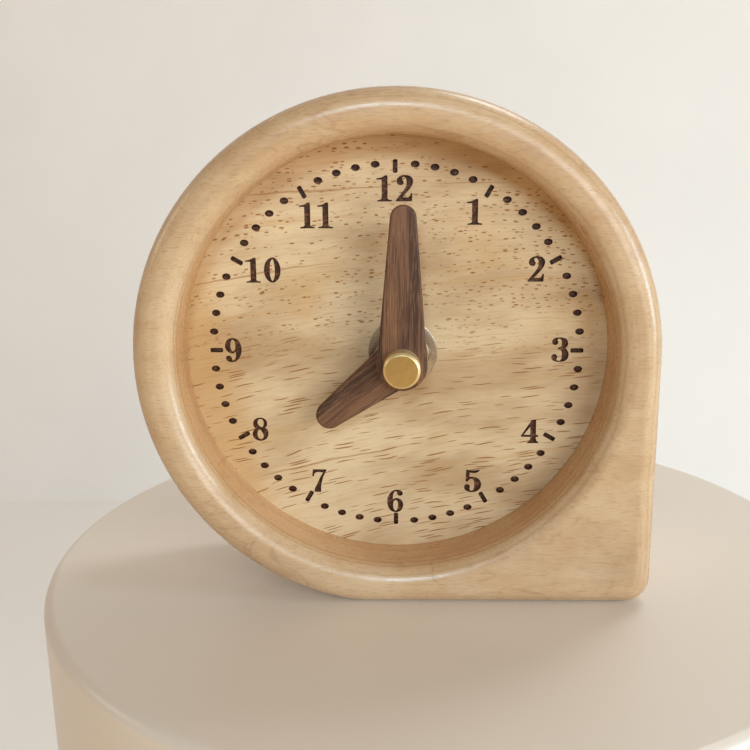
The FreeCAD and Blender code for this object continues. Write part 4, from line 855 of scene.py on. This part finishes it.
@dataclass
class WoodenCase:
    """Round block with a flat foot and one square corner, a recess in front and a wider cavity behind."""

    radius: float = 55 * MM
    blend_radius: float = 25 * MM
    corner_radius: float = 5.5 * MM
    front_round: float = 4.25 * MM
    back_round: float = 1.5 * MM
    recess_radius: float = 45.9 * MM
    recess_round: float = 3.9 * MM
    cavity_radius: float = 48.5 * MM
    cavity_break: float = 0.4 * MM
    blend_steps: int = 10
    corner_steps: int = 20
    front_steps: int = 14
    back_steps: int = 6
    lip_steps: int = 12
    crisp_degrees: float = 40
    height: float = DIAL_HEIGHT
    front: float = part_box("clock_case")[0].y
    back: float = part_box("clock_case")[1].y
    shoulder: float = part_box("dial_panel")[0].y

    def block(self) -> Thing:
        """Models the outside of the block, with its rounded edges.

        Returns:
            The solid block.
        """
        drop, reach = self.height - self.blend_radius, self.radius - self.blend_radius
        lean = math.acos(drop / reach)
        blend = Vector((-reach * math.sin(lean), self.front, self.blend_radius))
        start = blend + Vector((-math.sin(lean), 0, -math.cos(lean))) * self.blend_radius
        tangents = self.blend_radius * math.tan(lean / 2)
        knee = Vector((blend.x - tangents, self.front, 0))
        Bench.clear()
        bpy.ops.mesh.primitive_circle_add(
            vertices=CASE_CORNERS, radius=self.radius, location=(0, self.front, self.height), rotation=ALONG_Y
        )
        piece = Bench.name_and_settle("wooden_case")
        with Bench.editing(piece):
            Bench.pick("verts", lambda v: v.co.x > start.x - HAIR and v.co.z < self.height - HAIR)
            bpy.ops.mesh.delete(type="VERT")
            last = min((v.co.copy() for v in bmesh.from_edit_mesh(piece.data).verts), key=lambda place: place.z)
            Bench.pick("verts", lambda v: (v.co - last).length < HAIR)
            right_foot = Vector((self.radius, self.front, 0))
            for place in (start, knee, right_foot, right_foot + Vector((0, 0, self.height))):
                Bench.extrude(place - last)
                last = place
            Bench.close_up()
            for place, width, steps in (
                (knee, tangents, self.blend_steps), (right_foot, self.corner_radius, self.corner_steps),
            ):
                Bench.pick("verts", lambda v: (v.co - place).length < HAIR)
                bpy.ops.mesh.bevel(offset=width, segments=steps, profile=0.5, affect="VERTICES")
            bpy.ops.mesh.select_all(action="SELECT")
            bpy.ops.mesh.edge_face_add()
            Bench.extrude((0, self.back - self.front, 0))
            Bench.close_up()
            Bench.pick_rings(self.front)
            Bench.bevel(self.front_round, self.front_steps)
            Bench.pick_rings(self.back)
            Bench.bevel(self.back_round, self.back_steps)
            Bench.close_up()
        return piece

    def bore(self) -> Thing:
        """Models the shape of the recess and cavity, to be cut from the block.

        Returns:
            The turned shape.
        """
        lip = self.recess_radius + self.recess_round
        turn_in = [
            (lip - self.recess_round * math.sin(a), self.front + self.recess_round * (1 - math.cos(a)))
            for a in (math.radians(90 * step / self.lip_steps) for step in range(self.lip_steps + 1))
        ]
        edge = self.cavity_radius + self.cavity_break
        profile = [
            (lip, self.front - MM), *turn_in, (self.recess_radius, self.shoulder),
            (self.cavity_radius, self.shoulder), (self.cavity_radius, self.back - self.cavity_break),
            (edge, self.back), (edge, self.back + MM),
        ]
        return Bench.turn("bore", (0, self.height), profile, CASE_CORNERS)

    def build(self) -> list[Thing]:
        """Models and dresses the case.

        Returns:
            The case.
        """
        piece = self.block()
        Bench.carve(piece, self.bore())
        Bench.smooth(piece, self.crisp_degrees)
        return [hand_in(piece, Body.CASE, "case_wood", CaseWood().make(), "clock_case")]


@dataclass
class WoodenHand:
    """Tapered hand with round ends and softened edges."""

    node: str
    body: Body
    reach: float
    tip_radius: float
    clockwise: float
    bore_radius: float
    flat: float | None = None
    hub_radius: float = 5.2 * MM
    edge_round: float = 0.5 * MM
    edge_steps: int = 4
    pivot: tuple[float, float] = HANDS_AXIS

    def build(self) -> list[Thing]:
        """Models and dresses the hand.

        Returns:
            The hand.
        """
        front, back = reach_along_y(self.node)
        middle, thick = (front + back) / 2, back - front
        x, z = self.pivot
        angle = math.radians(self.clockwise)
        hub = Vector((x, middle, z))
        tip = hub + Vector((math.sin(angle), 0, math.cos(angle))) * self.reach
        Bench.clear()
        Bench.cylinder(ROUND_CORNERS, self.hub_radius, thick, hub, angle)
        piece = Bench.name_and_settle(f"wooden_{self.node}")
        with Bench.editing(piece):
            Bench.cylinder(ROUND_CORNERS, self.tip_radius, thick, tip, angle)
            bpy.ops.mesh.select_all(action="SELECT")
            bpy.ops.mesh.convex_hull()
            bpy.ops.mesh.select_all(action="SELECT")
            bpy.ops.mesh.dissolve_limited(angle_limit=math.radians(0.5))
            Bench.pick_rings(front, back)
            Bench.bevel(self.edge_round, self.edge_steps)
            Bench.close_up()
        Bench.carve(piece, self.bore(front - MM, back + MM))
        Bench.smooth(piece)
        looks = HandWood(self.clockwise, (x, middle, z)).make()
        return [hand_in(piece, self.body, "hand_wood", looks, self.node)]

    def bore(self, front: float, back: float) -> Thing:
        """Models the hole in the hub, round or with two flats.

        Args:
            front: Place along Y where it starts.
            back: Place along Y where it ends.

        Returns:
            The shape of the hole.
        """
        x, z = self.pivot
        Bench.clear()
        Bench.cylinder(BORE_CORNERS, self.bore_radius, back - front, (x, (front + back) / 2, z))
        tool = Bench.name_and_settle("hub_bore")
        if self.flat is not None:
            with Bench.editing(tool):
                for side in (-1, 1):
                    bpy.ops.mesh.select_all(action="SELECT")
                    bpy.ops.mesh.bisect(
                        plane_co=(x + side * self.flat, 0, z), plane_no=(side, 0, 0),
                        use_fill=True, clear_outer=True,
                    )
                Bench.close_up()
        return tool


@dataclass
class Fixings:
    """Cap nut in front of the hands, and the hexagon nut and washer that hold the movement."""

    pivot: tuple[float, float] = HANDS_AXIS
    cap_bevel: float = 0.5 * MM
    cap_radius: float = 3.78 * MM
    cap_crown: float = 1 * MM
    thread_radius: float = 1.5 * MM
    across_flats: float = 11 * MM
    nut_chamfer: float = 0.85 * MM
    bushing_radius: float = 4 * MM
    washer_radius: float = 7.55 * MM
    washer_bore: float = 4.2 * MM
    washer_round: float = 0.2 * MM
    cap_break: float = 0.1 * MM
    nut_break: float = 0.06 * MM
    lead_in: float = 0.4 * MM
    lead_overshoot: float = 0.1 * MM
    bevel_steps: int = 3
    blank_corners: int = 120

    def cap(self) -> Thing:
        """Models the cap nut: a flat front inside a bevelled rim, and a blind thread behind.

        Returns:
            The cap nut.
        """
        front, back = reach_along_y("cap_nut")
        blind = front + self.cap_crown
        piece = Bench.turn("brass_cap_nut", self.pivot, [
            (self.thread_radius, blind), (self.thread_radius, back), (self.cap_radius, back),
            (self.cap_radius, front + self.cap_bevel), (self.cap_radius - self.cap_bevel, front),
        ], ROUND_CORNERS)
        with Bench.editing(piece):
            Bench.pick_rings(front, front + self.cap_bevel, back)
            Bench.bevel(self.cap_break, self.bevel_steps)
            Bench.close_up()
        Bench.smooth(piece)
        looks = CapBrass(self.pivot, self.cap_radius - self.cap_bevel)
        return hand_in(piece, Body.MINUTE_HAND, "polished_brass", looks.make(), "cap_nut")

    def nut(self, looks: Looks) -> Thing:
        """Models the hexagon nut: six flats whose corners are turned off at both ends.

        Args:
            looks: Its material.

        Returns:
            The nut.
        """
        front, back = reach_along_y("fixing_nut")
        corner = self.across_flats / 2 / math.cos(math.pi / 6)
        Bench.clear()
        Bench.cylinder(6, corner, back - front, (self.pivot[0], (front + back) / 2, self.pivot[1]), math.pi / 6)
        piece = Bench.name_and_settle("hexagon_nut")
        turned = Bench.turn("turned_blank", self.pivot, [
            (corner - self.nut_chamfer, front), (corner, front + self.nut_chamfer),
            (corner, back - self.nut_chamfer), (corner - self.nut_chamfer, back),
        ], self.blank_corners)
        Bench.carve(piece, turned, "INTERSECT")
        start = front - self.lead_overshoot
        thread = Bench.turn("nut_bore", self.pivot, [
            (self.bushing_radius + self.lead_in, start), (self.bushing_radius, start + self.lead_in),
            (self.bushing_radius, back + MM),
        ], BORE_CORNERS)
        Bench.carve(piece, thread)
        Bench.modify(
            piece, "BEVEL", width=self.nut_break, segments=2, limit_method="ANGLE", angle_limit=math.radians(25)
        )
        Bench.smooth(piece)
        return hand_in(piece, Body.CASE, "steel", looks, "fixing_nut")

    def washer(self, looks: Looks) -> Thing:
        """Models the flat washer, with stamped edges.

        Args:
            looks: Its material.

        Returns:
            The washer.
        """
        front, back = reach_along_y("fixing_washer")
        piece = Bench.turn("flat_washer", self.pivot, [
            (self.washer_bore, back), (self.washer_bore, front),
            (self.washer_radius, front), (self.washer_radius, back),
        ], ROUND_CORNERS, ring=True)
        with Bench.editing(piece):
            Bench.pick_rings(front)
            Bench.bevel(self.washer_round, self.bevel_steps)
            Bench.close_up()
        Bench.smooth(piece)
        return hand_in(piece, Body.CASE, "steel", looks, "fixing_washer")

    def build(self) -> list[Thing]:
        """Models and dresses the three pieces.

        Returns:
            The pieces.
        """
        steel = Metal(
            "bright_steel_looks", (208, 194, 172), roughness=0.3, spread=0.02, depth=0.002
        ).make()
        return [self.cap(), self.nut(steel), self.washer(steel)]


class CarriedNodes:
    """Pieces whose solids show as they are, with finishes of their own."""

    def build(self) -> list[Thing]:
        """Dresses every carried-over node.

        Returns:
            The dressed nodes.
        """
        dressed = []
        for carried in Carried:
            finish, names = carried.value
            looks = finish.make()
            for name in names:
                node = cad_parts[name]
                for slot in node.material_slots:
                    slot.material = looks
                log.info("%s keeps its solid", name)
                dressed.append(node)
        return dressed


@dataclass(frozen=True)
class Lamp:
    """Soft lamp that points at the clock.

    It stands some degrees from the front to the right and some up. Its size is its width and height in metres.
    """

    name: str
    towards: tuple[float, float]
    size: tuple[float, float]
    watts: float
    colour: Colour
    distance: float = 1200 * MM

    def hang(self) -> None:
        """Adds the lamp to the scene."""
        lamp = bpy.data.lights.new(self.name, "AREA")
        lamp.shape, lamp.energy, lamp.color = "ELLIPSE", self.watts, linear(self.colour)[:3]
        lamp.size, lamp.size_y = self.size
        holder = bpy.data.objects.new(self.name, lamp)
        bpy.context.scene.collection.objects.link(holder)
        side, up = (math.radians(a) for a in self.towards)
        way = Vector((math.sin(side) * math.cos(up), -math.cos(side) * math.cos(up), math.sin(up)))
        holder.location = Vector((0, 0, DIAL_HEIGHT)) + way * self.distance
        holder.rotation_euler = (-way).to_track_quat("-Z", "Y").to_euler()


LAMPS = (
    Lamp("front_window", (32, 13), (0.80, 0.64), 5.9, (246, 252, 255)),
    Lamp("right_window", (74, 8), (0.35, 0.70), 6.8, (220, 242, 255)),
    Lamp("upper_lamp", (-3, 24), (0.24, 0.24), 4.0, (208, 237, 255)),
    Lamp("left_lamp", (-90, 20), (0.42, 0.42), 1.2, (255, 240, 215)),
    Lamp("rear_lamp", (140, 55), (0.42, 0.42), 3.9, (246, 250, 255)),
)


@dataclass
class Studio:
    """Round pale floor before a pale wall, soft lights and the camera."""

    stand_radius: float = 94 * MM
    stand_centre: tuple[float, float] = (9.5 * MM, 15 * MM)
    stand_height: float = 220 * MM
    stand_round: float = 2.5 * MM
    stand_steps: int = 6
    stand_corners: int = 192
    room_width: float = 6.0
    wall_height: float = 3.0
    wall_distance: float = 600 * MM
    floor_colour: Colour = (239, 230, 217)
    wall_colour: Colour = (242, 239, 234)
    wall_glow: Colour = (76, 78, 80)
    near_colour: Colour = (230, 198, 152)
    near_ends: tuple[float, float] = (20.0, 160.0)
    cloud_shade: float = 0.985
    dim_sky: Colour = (255, 196, 118)
    mirrored_sky: Colour = (255, 240, 218)
    shown_sky: Colour = (214, 206, 194)
    dim_strength: float = 0.22
    mirrored_strength: float = 0.2
    eye: Place = (3.7485 * MM, -206.989 * MM, 99.573 * MM)
    eye_turn: Place = (75.9257, 0.8807, 2.1322)
    lens_mm: float = 45.6
    sensor_mm: float = 36
    nearest: float = 5 * MM

    def floor(self) -> None:
        """Makes the round floor, and the wide one with its wall far behind."""
        Bench.clear()
        bpy.ops.mesh.primitive_cylinder_add(
            vertices=self.stand_corners, radius=self.stand_radius, depth=self.stand_height,
            location=(*self.stand_centre, -self.stand_height / 2),
        )
        stand = Bench.name_and_settle("round_floor")
        with Bench.editing(stand):
            Bench.pick("edges", lambda e: all(abs(v.co.z) < HAIR for v in e.verts))
            Bench.bevel(self.stand_round, self.stand_steps)
        Bench.smooth(stand)
        Bench.clear()
        bpy.ops.mesh.primitive_plane_add(
            size=self.room_width, location=(0, self.wall_distance - self.room_width / 2, -self.stand_height)
        )
        room = Bench.name_and_settle("room")
        with Bench.editing(room):
            Bench.pick("edges", lambda e: all(v.co.y > self.wall_distance - HAIR for v in e.verts))
            Bench.extrude((0, 0, self.wall_height))
        stand.data.materials.append(self.plain("floor_looks", self.floor_colour, 0.3))
        walls = self.plain("room_looks", self.wall_colour, 0.8, self.wall_glow, self.near_colour)
        room.data.materials.append(walls)

    def plain(self, name: str, colour: Colour, roughness: float, glow: Colour = (0, 0, 0),
              near: Colour | None = None) -> Looks:
        """Mixes a pale, faintly clouded finish.

        Args:
            name: The material's name.
            colour: Its lightest colour.
            roughness: How matt it is.
            glow: Light that it gives off by itself.
            near: Tone that it throws back on the camera's side of the clock. The camera itself doesn't see it.

        Returns:
            The material.
        """
        stone = Recipe(name, roughness=roughness, gloss=0.4)
        stone.shader.inputs["Emission Color"].default_value = linear(glow)
        stone.shader.inputs["Emission Strength"].default_value = 1.0
        clouds = stone.noise(stone.place, scale=0.008, detail=3)
        tone = stone.mix(stone.span(clouds, 0.3, 0.7), linear(colour), shaded(colour, self.cloud_shade))
        if near is not None:
            _, depth, _ = stone.split(stone.place)
            seen = stone.node("ShaderNodeLightPath").outputs["Is Camera Ray"]
            thrown_back = stone.mix(stone.span(depth, *self.near_ends), linear(near), tone)
            tone = stone.mix(seen, thrown_back, tone)
        return stone.finish(tone)

    def sky(self) -> None:
        """Lights everything faintly from all sides, and gives bright parts something pale to mirror."""
        world = bpy.context.scene.world or bpy.data.worlds.new("studio")
        bpy.context.scene.world = world
        world.use_nodes = True
        nodes, links = world.node_tree.nodes, world.node_tree.links
        path, blend, shown = (nodes.new(f"ShaderNode{kind}") for kind in ("LightPath", "Mix", "Mix"))
        blend.data_type = shown.data_type = "RGBA"
        dim, mirrored = linear(self.dim_sky), linear(self.mirrored_sky)
        blend.inputs[6].default_value = (*(c * self.dim_strength for c in dim[:3]), 1.0)
        blend.inputs[7].default_value = (*(c * self.mirrored_strength for c in mirrored[:3]), 1.0)
        shown.inputs[7].default_value = linear(self.shown_sky)
        links.new(path.outputs["Is Glossy Ray"], blend.inputs[0])
        links.new(blend.outputs[2], shown.inputs[6])
        links.new(path.outputs["Is Camera Ray"], shown.inputs[0])
        links.new(shown.outputs[2], nodes["Background"].inputs["Color"])
        nodes["Background"].inputs["Strength"].default_value = 1.0

    def build(self) -> None:
        """Sets up the floor, lights, world and camera."""
        self.floor()
        for lamp in LAMPS:
            lamp.hang()
        self.sky()
        camera = bpy.data.cameras.new("photo_camera")
        camera.lens, camera.sensor_width, camera.clip_start = self.lens_mm, self.sensor_mm, self.nearest
        holder = bpy.data.objects.new("photo_camera", camera)
        bpy.context.scene.collection.objects.link(holder)
        holder.location = self.eye
        holder.rotation_euler = tuple(math.radians(a) for a in self.eye_turn)
        bpy.context.scene.camera = holder
        bpy.context.scene.view_settings.view_transform = "Standard"


def main() -> None:
    """Builds every sub-assembly in turn and reports its pieces."""
    logging.basicConfig(level=logging.INFO, format="%(name)s: %(message)s")
    hour = WoodenHand(
        "hour_hand", Body.HOUR_HAND, reach=19.7 * MM, tip_radius=2.88 * MM, clockwise=232.75, bore_radius=3.4 * MM
    )
    minute = WoodenHand(
        "minute_hand", Body.MINUTE_HAND, reach=30 * MM, tip_radius=2.66 * MM, clockwise=0.9,
        bore_radius=1.5 * MM, flat=1.2 * MM,
    )
    for assembly in (WoodenCase(), hour, minute, Fixings(), CarriedNodes()):
        pieces = assembly.build()
        log.info("%s: %d pieces", type(assembly).__name__, len(pieces))
    Studio().build()


if __name__ == "__main__":
    main()
